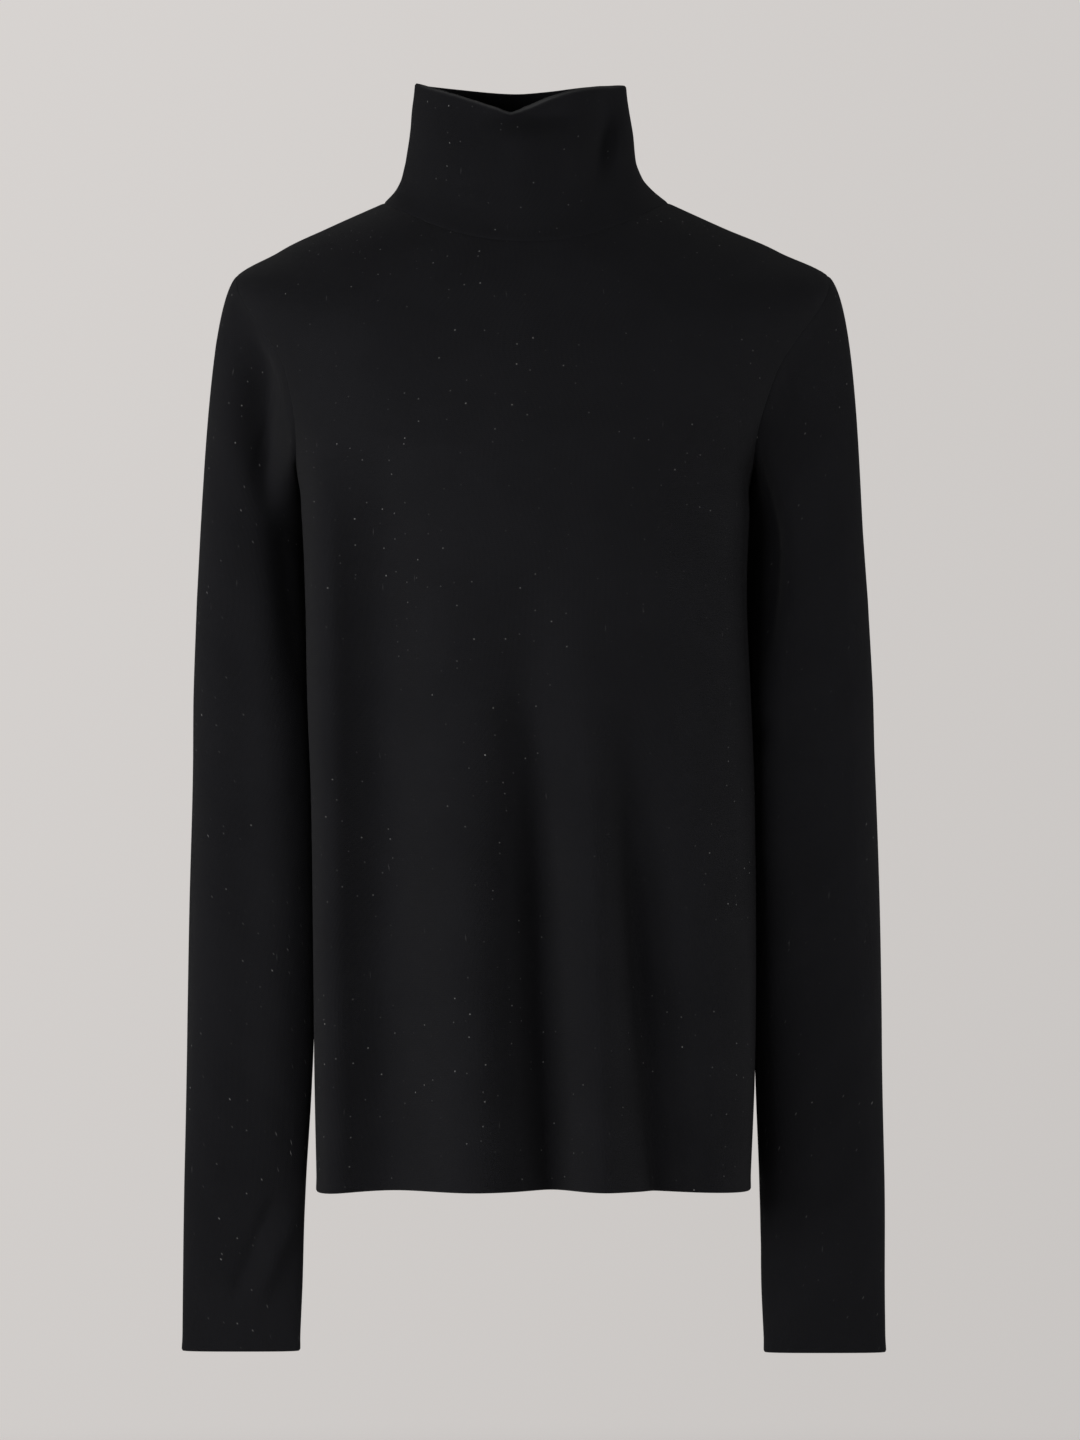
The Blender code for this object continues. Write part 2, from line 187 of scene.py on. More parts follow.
def crowded(steps: int, first: Sequence[float], last: Sequence[float]) -> tuple[Array, Array]:
    """Places along a line of any length: close together at its ends and even between them.

    Args:
        steps: Number of even steps.
        first: Distances from the start of the places there.
        last: Distances from the end of the places there.

    Returns:
        A distance and a share of the length for each place; the place is their sum.
    """
    share = np.linspace(0, 1, steps + 1)[1:-1]
    head, tail = np.asarray(first, dtype=float), -np.asarray(last, dtype=float)[::-1]
    offset = np.concatenate([head, head[-1] * (1 - share) + tail[0] * share, tail])
    return offset, np.concatenate([np.zeros(len(head)), share, np.ones(len(tail))])


def respaced(dense: Array, offset: Array, share: Array) -> Array:
    """Moves the points of each column to new places along it.

    Args:
        dense: Closely spaced points, rows by columns by 3.
        offset: Distances of the new places.
        share: Shares of the column's length, added to the distances.

    Returns:
        One row for each new place.
    """
    run = run_along(dense, 0)
    count = np.arange(len(dense), dtype=float)
    columns = []
    for column in range(dense.shape[1]):
        at = np.interp(offset + share * run[-1, column], run[:, column], count)
        low = np.clip(np.floor(at).astype(int), 0, len(dense) - 2)
        part = (at - low)[:, None]
        columns.append(dense[low, column] * (1 - part) + dense[low + 1, column] * part)
    return np.stack(columns, axis=1)


# ---------------- form of the sweater


@dataclass(frozen=True)
class TorsoRing:
    """One ring round the torso: where it passes the sides, the front centre and the back centre."""

    side_z: float
    right_x: float
    left_x: float
    front_y: float
    front_z: float
    back_y: float
    back_z: float
    fullness: float


@dataclass(frozen=True)
class Fold:
    """A soft ridge (relief above 0) or trough that runs down the torso and deepens to the hem.

    It moves the cloth along its normal, or straight to the front or back beside the body's edge.
    """

    top_x: float
    hem_x: float
    start_z: float
    full_z: float
    relief: float
    half_width: float
    straight: bool = False


@dataclass(frozen=True)
class Crease:
    """A shorter ridge or trough along a path of places across and heights, faded at both ends."""

    path: tuple[Pair, ...]
    relief: float
    half_width: float
    fade: float = 0.35

    def relief_at(self, x: Array, z: Array) -> Array:
        """Relief at points: a bell of the distance to the path, times a smooth fade at its ends.

        Args:
            x: Places across.
            z: Heights.

        Returns:
            Relief in millimetres, outwards above 0.
        """
        nearest = np.full(np.broadcast(x, z).shape, np.inf)
        run = np.zeros_like(nearest)
        length = 0.0
        for (start_x, start_z), (end_x, end_z) in zip(self.path, self.path[1:]):
            run_x, run_z = end_x - start_x, end_z - start_z
            leg = math.hypot(run_x, run_z)
            along = np.clip(((x - start_x) * run_x + (z - start_z) * run_z) / leg**2, 0.0, 1.0)
            gap = np.hypot(x - start_x - along * run_x, z - start_z - along * run_z)
            run = np.where(gap < nearest, length + along * leg, run)
            nearest = np.minimum(gap, nearest)
            length += leg
        share = run / length
        ends = smooth_step(share / self.fade) * smooth_step((1 - share) / self.fade)
        return self.relief * ends * bell(nearest, self.half_width)


TORSO_RINGS = tuple(TorsoRing(*row) for row in (
    (-571, -124.6, 120.6, -94, -567, 84, -570, 2.4),  # hem
    (-509, -125.9, 125.4, -93, -508, 83, -509, 2.4),
    (-440, -126.6, 127.3, -91, -439, 80, -440, 2.4),
    (-350, -127.8, 127.2, -89, -349, 76, -350, 2.4),  # waist
    (-289, -130.1, 125.0, -93, -287, 77, -289, 2.4),
    (-231, -131.2, 122.5, -101, -227, 82, -230, 2.4),
    (-184, -133.3, 124.0, -106, -176, 87, -180, 2.4),  # bust
    (-156, -137.0, 126.5, -104, -138, 89, -144, 2.4),  # underarm
    (-98, -156.0, 153.0, -98, -109, 88, -105, 2.25),
    (-52, -176.5, 176.0, -91, -83, 83, -67, 2.15),  # past the shoulder point
    (-29.9, -147.5, 141.6, -84, -62, 76, -38, 2.1),
    (-16, -119.0, 109.5, -77, -44, 68, -14, 2.1),
    (-1.5, -86.5, 77.5, -69, -27.5, 58, 7, 2.1),  # neck seam
))
HEM_RING = 0.0
UNDERARM_RING = 7.0
SHOULDER_RING = 9.3
NECK_RING = 12.0
ARMHOLE_MIDDLE = (UNDERARM_RING + SHOULDER_RING) / 2
ARMHOLE_HALF = (SHOULDER_RING - UNDERARM_RING) / 2
RINGS_PER_DEG = 0.01  # a degree of turn is about as long on the cloth as this many rings
NUDGE = 0.01  # a small angle round an armhole, for the way that its seam runs


@dataclass(frozen=True)
class Torso:
    """The smooth body surface that the front and the back are cut from."""

    rings: tuple[TorsoRing, ...] = TORSO_RINGS
    front_armhole_deg: float = 26.0
    back_armhole_deg: float = 23.0
    front_folds: tuple[Fold, ...] = (
        Fold(-125, -120, -110, -210, 19.0, 14, straight=True),
        Fold(-86, -80, -110, -230, -20.0, 22, straight=True),
        Fold(-45, -31, -230, -470, 12.0, 20),
        Fold(-6, 12, -200, -400, -21.0, 17),
        Fold(32, 37, -240, -470, 12.0, 14),
        Fold(50, 80, -250, -440, -19.0, 16),
        Fold(96, 108, -280, -500, 7.0, 17),
    )
    back_folds: tuple[Fold, ...] = (
        Fold(-110, -112, -130, -330, 9.0, 12, straight=True),
        Fold(-68, -80, -250, -450, -11.0, 16),
        Fold(-32, -42, -290, -500, 8.5, 16),
        Fold(2, -6, -230, -430, -13.0, 16),
        Fold(28, 38, -280, -500, 8.5, 16),
        Fold(62, 76, -260, -460, -11.0, 16),
        Fold(108, 110, -130, -330, 9.0, 12, straight=True),
    )
    fold_blend: float = 0.12

    def relief(self, folds: tuple[Fold, ...], x: Array, z: Array) -> Array:
        """Sums folds: each is a bell across its width and grows smoothly down its length.

        Args:
            folds: The folds of one panel.
            x: Places across.
            z: Heights.

        Returns:
            Relief in millimetres; the first axis has the parts along the normal and straight.
        """
        hem_z = self.rings[0].side_z
        total = np.zeros((2, *x.shape))
        for fold in folds:
            down = np.clip((fold.start_z - z) / (fold.start_z - hem_z), 0.0, 1.0)
            centre = fold.top_x + (fold.hem_x - fold.top_x) * down
            strength = smooth_step((fold.start_z - z) / (fold.start_z - fold.full_z))
            total[int(fold.straight)] += fold.relief * strength * bell(x - centre, fold.half_width)
        return total

    def points(self, ring: Number, turn_deg: Number) -> Array:
        """Points of the body surface.

        Each ring is a superellipse, sine and cosine of the turn to the power 2 over its fullness. Its
        height goes from that of the sides to those of the front and the back with the square of the
        cosine. The folds move it along its own normal, seen from above.

        Args:
            ring: Ring numbers, counted up from the hem.
            turn_deg: Turns, 0 at the front, 90 on the left side and 180 at the back.

        Returns:
            Points in millimetres.
        """
        ring, turn_deg = np.broadcast_arrays(np.asarray(ring, dtype=float), turn_deg)
        row = np.moveaxis(curve_through(table(self.rings), ring), -1, 0)
        side_z, right_x, left_x, front_y, front_z, back_y, back_z, fullness = row
        turn = np.radians(turn_deg)
        across, along = np.sin(turn), np.cos(turn)
        front = along >= 0
        half_width = (left_x - right_x) / 2
        depth = np.where(front, -front_y, back_y)
        x = (left_x + right_x) / 2 + half_width * signed_power(across, 2 / fullness)
        y = -depth * signed_power(along, 2 / fullness)
        z = side_z + (np.where(front, front_z, back_z) - side_z) * along**2
        front_share = smooth_step((along + self.fold_blend) / (2 * self.fold_blend))
        relief, push = self.relief(self.front_folds, x, z) * front_share
        back_relief, back_push = self.relief(self.back_folds, x, z) * (1 - front_share)
        relief = relief + back_relief
        normal_x = signed_power(across, 2 - 2 / fullness) / half_width
        normal_y = -signed_power(along, 2 - 2 / fullness) / depth
        length = np.hypot(normal_x, normal_y)
        y = y + relief * normal_y / length + back_push - push
        return np.stack([x + relief * normal_x / length, y, z], axis=-1)

    def even_turns(self, ring: float, first_deg: float, last_deg: float, columns: int) -> Array:
        """Turns that part a stretch of a ring into even lengths of cloth.

        Args:
            ring: Ring number.
            first_deg: Turn where the stretch starts.
            last_deg: Turn where it ends.
            columns: Number of lengths.

        Returns:
            columns + 1 turns.
        """
        turns = np.linspace(first_deg, last_deg, CURVE_SAMPLES)
        run = run_along(self.points(ring, turns), 0)
        return np.interp(np.linspace(0, run[-1], columns + 1), run, turns)

    def armhole_cut(self, ring: Number, scoop_deg: float) -> Array:
        """How far a panel's edge stands back from the side: half an ellipse, underarm to shoulder."""
        return scoop_deg * np.sqrt(np.clip(1 - ((ring - ARMHOLE_MIDDLE) / ARMHOLE_HALF) ** 2, 0, 1))

    def armhole(self, side: int, around: Array, beyond_deg: float = 0.0) -> Array:
        """The armhole seam, once round from the shoulder point by way of the front.

        Args:
            side: 1 on the wearer's left and -1 on the right.
            around: Angles, 0 at the shoulder point and pi at the underarm.
            beyond_deg: How far to move the line into the hole along the surface.

        Returns:
            Points in millimetres.
        """
        front = np.sin(around) >= 0
        scoop = np.where(front, self.front_armhole_deg, self.back_armhole_deg) - beyond_deg
        scoop = scoop * np.abs(np.sin(around))
        turn = np.where(front, 90.0 - scoop, 90.0 + scoop)
        ring = ARMHOLE_MIDDLE + (ARMHOLE_HALF - beyond_deg * RINGS_PER_DEG) * np.cos(around)
        return self.points(ring, side * turn)


@dataclass(frozen=True)
class SleeveSection:
    """One level section of a hanging sleeve, with its reach from the middle of the torso.

    lean is how far its back is moved in and its front out, as a share of its half width.
    """

    z: float
    inner_x: float
    outer_x: float
    centre_y: float
    half_depth: float
    lean: float
    fullness: float


@dataclass(frozen=True)
class CollarRing:
    """One ring of the collar, at a share of its height."""

    rise: float
    right_x: float
    left_x: float
    front_y: float
    back_y: float
    fullness: float


@dataclass(frozen=True)
class Dent:
    """A soft dent (relief below 0) or bulge in the collar, slanting by lean across for each unit up."""

    x: float
    z: float
    half_width: float
    half_height: float
    relief: float
    lean: float = 0.0

    def relief_at(self, x: Array, z: Array) -> Array:
        """A bell in both directions."""
        away = x - self.x - self.lean * (z - self.z)
        return self.relief * bell(away, self.half_width) * bell(z - self.z, self.half_height)


# ---------------- cloth


@dataclass
class Cloth:
    """A grid of points in millimetres, and where the flat piece had them: from its middle line, and down.

    A closed grid, whose last column meets its first, has one column more of such places.
    """

    points: Array
    closed: bool
    across: Array = field(init=False)
    down: Array = field(init=False)

    def __post_init__(self) -> None:
        """Measures the grid along its rows and columns."""
        points = looped(self.points) if self.closed else self.points
        run = run_along(points, 1)
        self.across = run - run[:, -1:] / 2
        self.down = run_along(points, 0)


@dataclass
class Skin:
    """Vertices with the strength of their painted highlight, faces and a place on the flat piece for each
    corner.
    """

    vertices: Array
    faces: Array
    places: Array
    pale: Array

    def joined(self, other: "Skin") -> "Skin":
        """Both in one."""
        return Skin(
            np.concatenate([self.vertices, other.vertices]),
            np.concatenate([self.faces, other.faces + len(self.vertices)]),
            np.concatenate([self.places, other.places]),
            np.concatenate([self.pale, other.pale]),
        )


@dataclass(frozen=True)
class SeamLine:
    """A seam: close points, directions into the garment there, and how far the cloth sinks at it."""

    points: Array
    inward: Array
    closed: bool
    sink: float


def borders(index: Array, place: Array, cloth: Cloth) -> list[tuple[Array, Array, Array]]:
    """Finds the border loops of a grid, each running so that the cloth lies on its left.

    Args:
        index: Vertex numbers, rows by columns.
        place: Numbers of the places on the flat piece.
        cloth: The cloth.

    Returns:
        For each loop its vertex numbers, its place numbers with the first one again at the end, and
        unit vectors that point out of the cloth there.
    """
    points = cloth.points
    out = np.zeros_like(points)
    out[0] = unit(points[0] - points[1])
    out[-1] = unit(points[-1] - points[-2])
    if cloth.closed:
        ends = ((0, 1), (-1, -1))
        return [(index[row, ::way], place[row, ::way], out[row, ::way]) for row, way in ends]
    out[:, 0] += unit(points[:, 0] - points[:, 1])
    out[:, -1] += unit(points[:, -1] - points[:, -2])
    loop_place = once_round(place)
    return [(once_round(index), np.append(loop_place, loop_place[0]), once_round(unit(out)))]


@dataclass(frozen=True)
class Knit:
    """The cloth's wall: its faces from the middle, how its edges are rounded and its seams sink.

    A free edge gets a half-round rim and a small roll. A sewn edge is nearly square, so that two of them
    meet closely.
    """

    outer: float = 1.0
    inner: float = 0.5
    rim_steps: int = 3
    sewn_bulge: float = 0.16
    sewn_power: float = 0.3
    seam_reach: float = 1.2
    seam_part: int = 120  # points of a seam that are measured at once, which saves memory
    free_roll: float = 0.35
    free_roll_reach: float = 4.5
    # how far from the free edge the painted highlight fades out
    highlight_reach: float = 0.6

    def sunk(self, grid: Array, closed: bool, seams: Sequence[SeamLine]) -> Array:
        """Lets the cloth sink at seams: inwards by a bell of the distance, the deepest counting.

        Args:
            grid: Points of a piece.
            closed: Whether its last column meets the first.
            seams: The seams.

        Returns:
            The grid, moved.
        """
        flat = grid.reshape(-1, 3)
        sink = np.zeros(len(flat))
        for seam in seams:
            for part in np.array_split(seam.points, max(1, len(seam.points) // self.seam_part)):
                gap = np.linalg.norm(flat[:, None, :] - part[None, :, :], axis=-1).min(axis=1)
                sink = np.maximum(sink, seam.sink * bell(gap, self.seam_reach))
        return grid - grid_normals(grid, closed) * sink.reshape(grid.shape[:2])[..., None]

    def shell(self, cloth: Cloth, free_row: int, pale: Number = 0.0) -> Skin:
        """Gives cloth its two faces and closes its edges with rims.

        The outer and the inner face stand off the middle along its normals, a little more near the free
        edge. A rim runs once round each border: from the outer face's last points, by points on a half
        circle that bulges past the border, to the inner face's. At a sewn border the circle's cosine and
        sine are raised to a power under 1 and the bulge is small.

        Args:
            cloth: The piece.
            free_row: The row that is its free edge, 0 or -1.
            pale: The painted highlight that row gets, for each column; it fades out over its reach.

        Returns:
            A closed skin whose faces point outwards.
        """
        rows, columns, _ = cloth.points.shape
        size = rows * columns
        away = np.abs(cloth.down - cloth.down[free_row])[:, :columns]
        roll = self.free_roll * bell(away, self.free_roll_reach)
        normals = grid_normals(cloth.points, cloth.closed)
        outside = (cloth.points + normals * (self.outer + roll)[..., None]).reshape(-1, 3)
        inside = (cloth.points - normals * (self.inner + roll)[..., None]).reshape(-1, 3)
        # painted highlight: how much the free edge's colour is paled, fading away from it
        highlight_level = (pale * bell(away, self.highlight_reach)).reshape(-1)
        index = np.arange(size).reshape(rows, columns)
        free = np.zeros(size, dtype=bool)
        free[index[free_row]] = True
        place = np.arange(cloth.down.size).reshape(cloth.down.shape)
        flat = np.stack([cloth.across, cloth.down], axis=-1).reshape(-1, 2)
        outer_faces, outer_places = quads(looped(index) if cloth.closed else index), quads(place)
        vertices = [outside, inside]
        faces = [outer_faces, outer_faces[:, ::-1] + size]
        places = [flat[outer_places], flat[outer_places[:, ::-1]]]
        painted_highlights = [highlight_level, highlight_level]
        count = 2 * size
        turn = np.pi * np.arange(1, self.rim_steps)[:, None, None] / self.rim_steps
        for loop, loop_place, beyond in borders(index, place, cloth):
            middle, half = (outside[loop] + inside[loop]) / 2, (outside[loop] - inside[loop]) / 2
            power = np.where(free[loop], 1.0, self.sewn_power)[:, None]
            bulge = np.where(free[loop], 1.0, self.sewn_bulge)[:, None]
            reach = beyond * (bulge * np.linalg.norm(half, axis=-1, keepdims=True))
            ring = middle + half * signed_power(np.cos(turn), power) + reach * np.sin(turn) ** power
            steps = (self.rim_steps, len(loop))
            numbers = count + np.arange(ring.size // 3).reshape(-1, len(loop))
            band = looped(np.concatenate([loop[None], numbers, loop[None] + size]))
            here, there = (np.broadcast_to(part, steps) for part in (loop_place[:-1], loop_place[1:]))
            vertices.append(ring.reshape(-1, 3))
            faces.append(quads(band)[:, (0, 3, 2, 1)])  # turned over, to point outwards
            places.append(flat[np.stack([here, here, there, there], axis=-1).reshape(-1, 4)])
            painted_highlights.append(np.tile(highlight_level[loop], self.rim_steps - 1))
            count += numbers.size
        return Skin(*(np.concatenate(parts) for parts in (vertices, faces, places, painted_highlights)))


ROLL_SIDES = 8
ROLL_CAP = np.array([[0, 1, 2, 3], [0, 3, 4, 7], [4, 5, 6, 7]])


@dataclass(frozen=True)
class SeamRoll:
    """The overlocked seam allowance behind a seam: a round roll of cloth."""

    radius: float = 1.2
    depth: float = 2.1

    def behind(self, seam: SeamLine) -> Skin:
        """The roll of one seam.

        Each ring is an octagon across the line: the cosine of its angle goes along the inward direction,
        and the sine along the cross product of that with the line. An open seam's roll has flat ends.

        Args:
            seam: The seam.

        Returns:
            A closed skin.
        """
        line = seam.points + seam.inward * self.depth
        if seam.closed:
            along = unit(np.roll(line, -1, axis=0) - np.roll(line, 1, axis=0))
        else:
            along = unit(np.gradient(line, axis=0))
        first = square_to(seam.inward, along)
        second = np.cross(along, first)
        angle = TURN * np.arange(ROLL_SIDES) / ROLL_SIDES
        ring = np.cos(angle)[:, None] * first[:, None] + np.sin(angle)[:, None] * second[:, None]
        vertices = (line[:, None] + ring * self.radius).reshape(-1, 3)
        step = np.arange(len(line) + seam.closed) % len(line)
        side = np.arange(ROLL_SIDES + 1)
        index = step[:, None] * ROLL_SIDES + side % ROLL_SIDES
        flat = np.meshgrid(side * self.radius * TURN / ROLL_SIDES, run_along(line[step], 0))
        flat = np.stack(flat, axis=-1).reshape(-1, 2)
        faces = quads(index)
        places = flat[quads(np.arange(index.size).reshape(index.shape))]
        if not seam.closed:
            faces = np.concatenate([faces, ROLL_CAP[:, ::-1], ROLL_CAP + index[-1, 0]])
            corner = np.stack([np.cos(angle), np.sin(angle)], axis=-1) * self.radius
            places = np.concatenate([places, corner[ROLL_CAP[:, ::-1]], corner[ROLL_CAP]])
        return Skin(vertices, faces, places, np.zeros(len(vertices)))


SEAM_ROLL = SeamRoll()
INNER_SLEEVE_ROLL = SeamRoll(radius=0.9, depth=1.1)


@dataclass
class Seams:
    """The seams on the body surface.

    The armholes' sinks are for the wearer's right and left. Inward is level and towards the torso's upright
    middle line. At the neck it also dips, to meet that line at a depth below the seam, and at an armhole
    it turns a share of the way to the armhole's own middle.
    """

    torso: Torso
    neck_sink: float = 0.35
    neck_depth: float = 40.0
    armhole_sinks: Pair = (0.1, 0.35)
    armhole_share: float = 0.5
    plain_sink: float = 0.35
    side_points: int = 420
    shoulder_points: int = 100
    neck: SeamLine = field(init=False)
    armholes: dict[int, SeamLine] = field(init=False)
    side_and_shoulder: list[SeamLine] = field(init=False)

    def __post_init__(self) -> None:
        """Works the lines out once."""
        around = np.linspace(0, TURN, CURVE_SAMPLES)[:-1]
        neck = self.torso.points(NECK_RING, np.degrees(around))
        inward = unit(neck * (-1, -1, 0) - (0, 0, self.neck_depth))
        self.neck = SeamLine(neck, inward, True, self.neck_sink)
        self.armholes = {}
        for side, sink in zip((-1, 1), self.armhole_sinks):
            seam = self.torso.armhole(side, around)
            middle = unit(seam.mean(axis=0) - seam) * self.armhole_share
            inward = unit(unit(seam * (-1, -1, 0)) + middle)
            self.armholes[side] = SeamLine(seam, inward, True, sink)
        side_rings = np.linspace(HEM_RING, UNDERARM_RING, self.side_points)
        shoulder_rings = np.linspace(SHOULDER_RING, NECK_RING, self.shoulder_points)
        self.side_and_shoulder = []
        for turn_deg in (90.0, -90.0):
            for rings in (side_rings, shoulder_rings):
                line = self.torso.points(rings, turn_deg)
                beside = self.torso.points(rings, turn_deg + 1.0) - line
                inward = unit(np.cross(np.gradient(line, axis=0), beside))
                self.side_and_shoulder.append(SeamLine(line, inward, False, self.plain_sink))

    @property
    def lines(self) -> list[SeamLine]:
        """Every seam."""
        return [self.neck, *self.armholes.values(), *self.side_and_shoulder]


# ---------------- pieces


class Piece(Enum):
    """The knitted pieces, by the names of the nodes that they stand for."""

    FRONT = "front"
    BACK = "back"
    SLEEVE_LEFT = "sleeve_left"
    SLEEVE_RIGHT = "sleeve_right"
    COLLAR = "collar"


class Held(Enum):
    """How a piece of cloth hangs."""

    HUNG = "hung"
    STRETCHED = "stretched"


@dataclass(frozen=True)
class Cut:
    """What a piece was cut to: its flat width and length in metres, its area, and how it hangs."""

    width: float
    length: float
    area: float
    held: Held = Held.HUNG


@dataclass(frozen=True)
class Bench:
    """What all the pieces are made with: the body surface, its seams, the cloth's wall and finish."""

    torso: Torso
    seams: Seams
    knit: Knit
    finish: bpy.types.Material


# How far from an edge the rows and columns near it lie, in millimetres, and a panel's rows in rings.
FREE_EDGE = (0.0, 0.7, 1.6, 2.8, 4.4)
SEWN_EDGE = (0.0, 0.45, 1.0, 1.6, 2.3, 3.2, 4.5)
HEM_ROWS = (0.0, 0.011, 0.026, 0.045, 0.07)
NECK_ROWS = (0.13, 0.095, 0.068, 0.046, 0.028, 0.013, 0.0)


def from_seam(gap: float) -> tuple[float, ...]:
    """Distances from a seam of the places near it, the first of them at a gap."""
    return tuple(gap + place for place in SEWN_EDGE)


def placed(name: str, data: bpy.types.ID) -> bpy.types.Object:
    """Adds an object to the scene.

    Args:
        name: Its name.
        data: Its mesh, light or camera.

    Returns:
        The object, at the origin.
    """
    made = bpy.data.objects.new(name, data)
    bpy.context.scene.collection.objects.link(made)
    return made


@dataclass(frozen=True)
class KnittedPiece:
    """One piece of the sweater and its cut; each kind of piece gives a skin of its own."""

    piece: Piece
    cut: Cut

    def skin(self, bench: Bench) -> Skin:
        """The piece's closed skin in millimetres."""
        raise NotImplementedError

    def build(self, bench: Bench) -> bpy.types.Object:
        """Puts the skin into a mesh with its UV map, dresses it, hangs it on the body, hides the part it
        stands for and logs its cut.

        Args:
            bench: What it is made with.

        Returns:
            The object, at the origin.
        """
        skin = self.skin(bench)
        name = f"{self.piece.value}_cloth"
        mesh = bpy.data.meshes.new(name)
        mesh.from_pydata(skin.vertices * MM, [], skin.faces)
        uv = mesh.uv_layers.new(name=UV_NAME)
        uv.uv.foreach_set("vector", (skin.places * MM).astype(np.float32).ravel())
        # painted highlight strength of each vertex, for the finish to read
        pale = mesh.attributes.new(HIGHLIGHT_NAME, "FLOAT", "POINT")
        pale.data.foreach_set("value", skin.pale.astype(np.float32))
        mesh.shade_smooth()
        mesh.validate()
        mesh.materials.append(bench.finish)
        made = placed(name, mesh)
        cut = self.cut
        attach(made, BODY)
        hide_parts(self.piece.value)
        size = (cut.width / MM, cut.length / MM)
        log.info("%s: %d faces, cut %.0f x %.0f mm", name, len(mesh.polygons), *size)
        return made


@dataclass(frozen=True)
class Panel(KnittedPiece):
    """The front or the back: cut from the torso by side, armhole, shoulder and neck seams."""

    middle_deg: float
    scoop_deg: float
    columns: int
    side_rows: int = 150
    armhole_rows: int = 60
    shoulder_rows: int = 34
    even_rows: int = 61
    dense_columns: int = 721
    seam_gap: float = 0.12

    def rings(self) -> Array:
        """Ring numbers of the rows: even up the side, closer at the armhole's ends, hem and neck.

        Returns:
            The numbers, from the hem up.
        """
        side = np.linspace(HEM_ROWS[-1], UNDERARM_RING, self.side_rows + 1)[1:-1]
        turn = np.linspace(0, np.pi, self.armhole_rows + 1)
        armhole = ARMHOLE_MIDDLE - ARMHOLE_HALF * np.cos(turn)
        neck = NECK_RING - np.array(NECK_ROWS)
        shoulder = np.linspace(SHOULDER_RING, neck[0], self.shoulder_rows + 1)[1:-1]
        return np.concatenate([HEM_ROWS, side, armhole, shoulder, neck])

    def evened(self, rings: Array) -> Array:
        """Averages the steps between rows over a window, but not at the ends.

        Args:
            rings: Ring numbers of the rows at the panel's edges.

        Returns:
            Ring numbers of the rows in the panel's middle.
        """
        steps = np.diff(rings)
        window = np.hanning(self.even_rows)
        padded = np.pad(steps, self.even_rows // 2, mode="edge")
        smooth = np.convolve(padded, window / window.sum(), mode="valid")[: len(steps)]
        number = np.arange(len(steps))
        inside = np.clip(np.minimum(number, number[::-1]) / self.even_rows, 0, 1)
        steps = steps + (smooth - steps) * smooth_step(inside)
        return np.concatenate([[0.0], np.cumsum(steps)]) * rings[-1] / steps.sum()

    def grid(self, torso: Torso) -> Array:
        """Points of the panel, row by row from the hem to the neck seam.

        At its edges a row is at its own ring, which is close to its neighbours where the armhole turns,
        and in the middle it is at an evened one: the two are mixed by the fourth power of the distance
        from the middle. Each row is read closely between its edges and then set out again in even
        lengths of cloth, closer at the seams.

        Args:
            torso: The body surface.

        Returns:
            Rows by columns by 3.
        """
        rings = self.rings()
        across = np.linspace(-1, 1, self.dense_columns)
        reach = 90.0 - torso.armhole_cut(rings, self.scoop_deg)
        evened = self.evened(rings)[:, None]
        ring = evened + (rings[:, None] - evened) * across**4
        dense = torso.points(ring, self.middle_deg + reach[:, None] * across)
        edge = from_seam(self.seam_gap)
        return respaced(dense.transpose(1, 0, 2), *crowded(self.columns, edge, edge)).transpose(1, 0, 2)

    def skin(self, bench: Bench) -> Skin:
        """Rolls the hem and sinks the sewn edges; the back has the side and shoulder allowances.

        Args:
            bench: What it is made with.

        Returns:
            The panel's closed skin.
        """
        grid = bench.knit.sunk(self.grid(bench.torso), False, bench.seams.lines)
        skin = bench.knit.shell(Cloth(grid, False), free_row=0)
        if self.piece is Piece.BACK:
            for seam in bench.seams.side_and_shoulder:
                skin = skin.joined(SEAM_ROLL.behind(seam))
        return skin


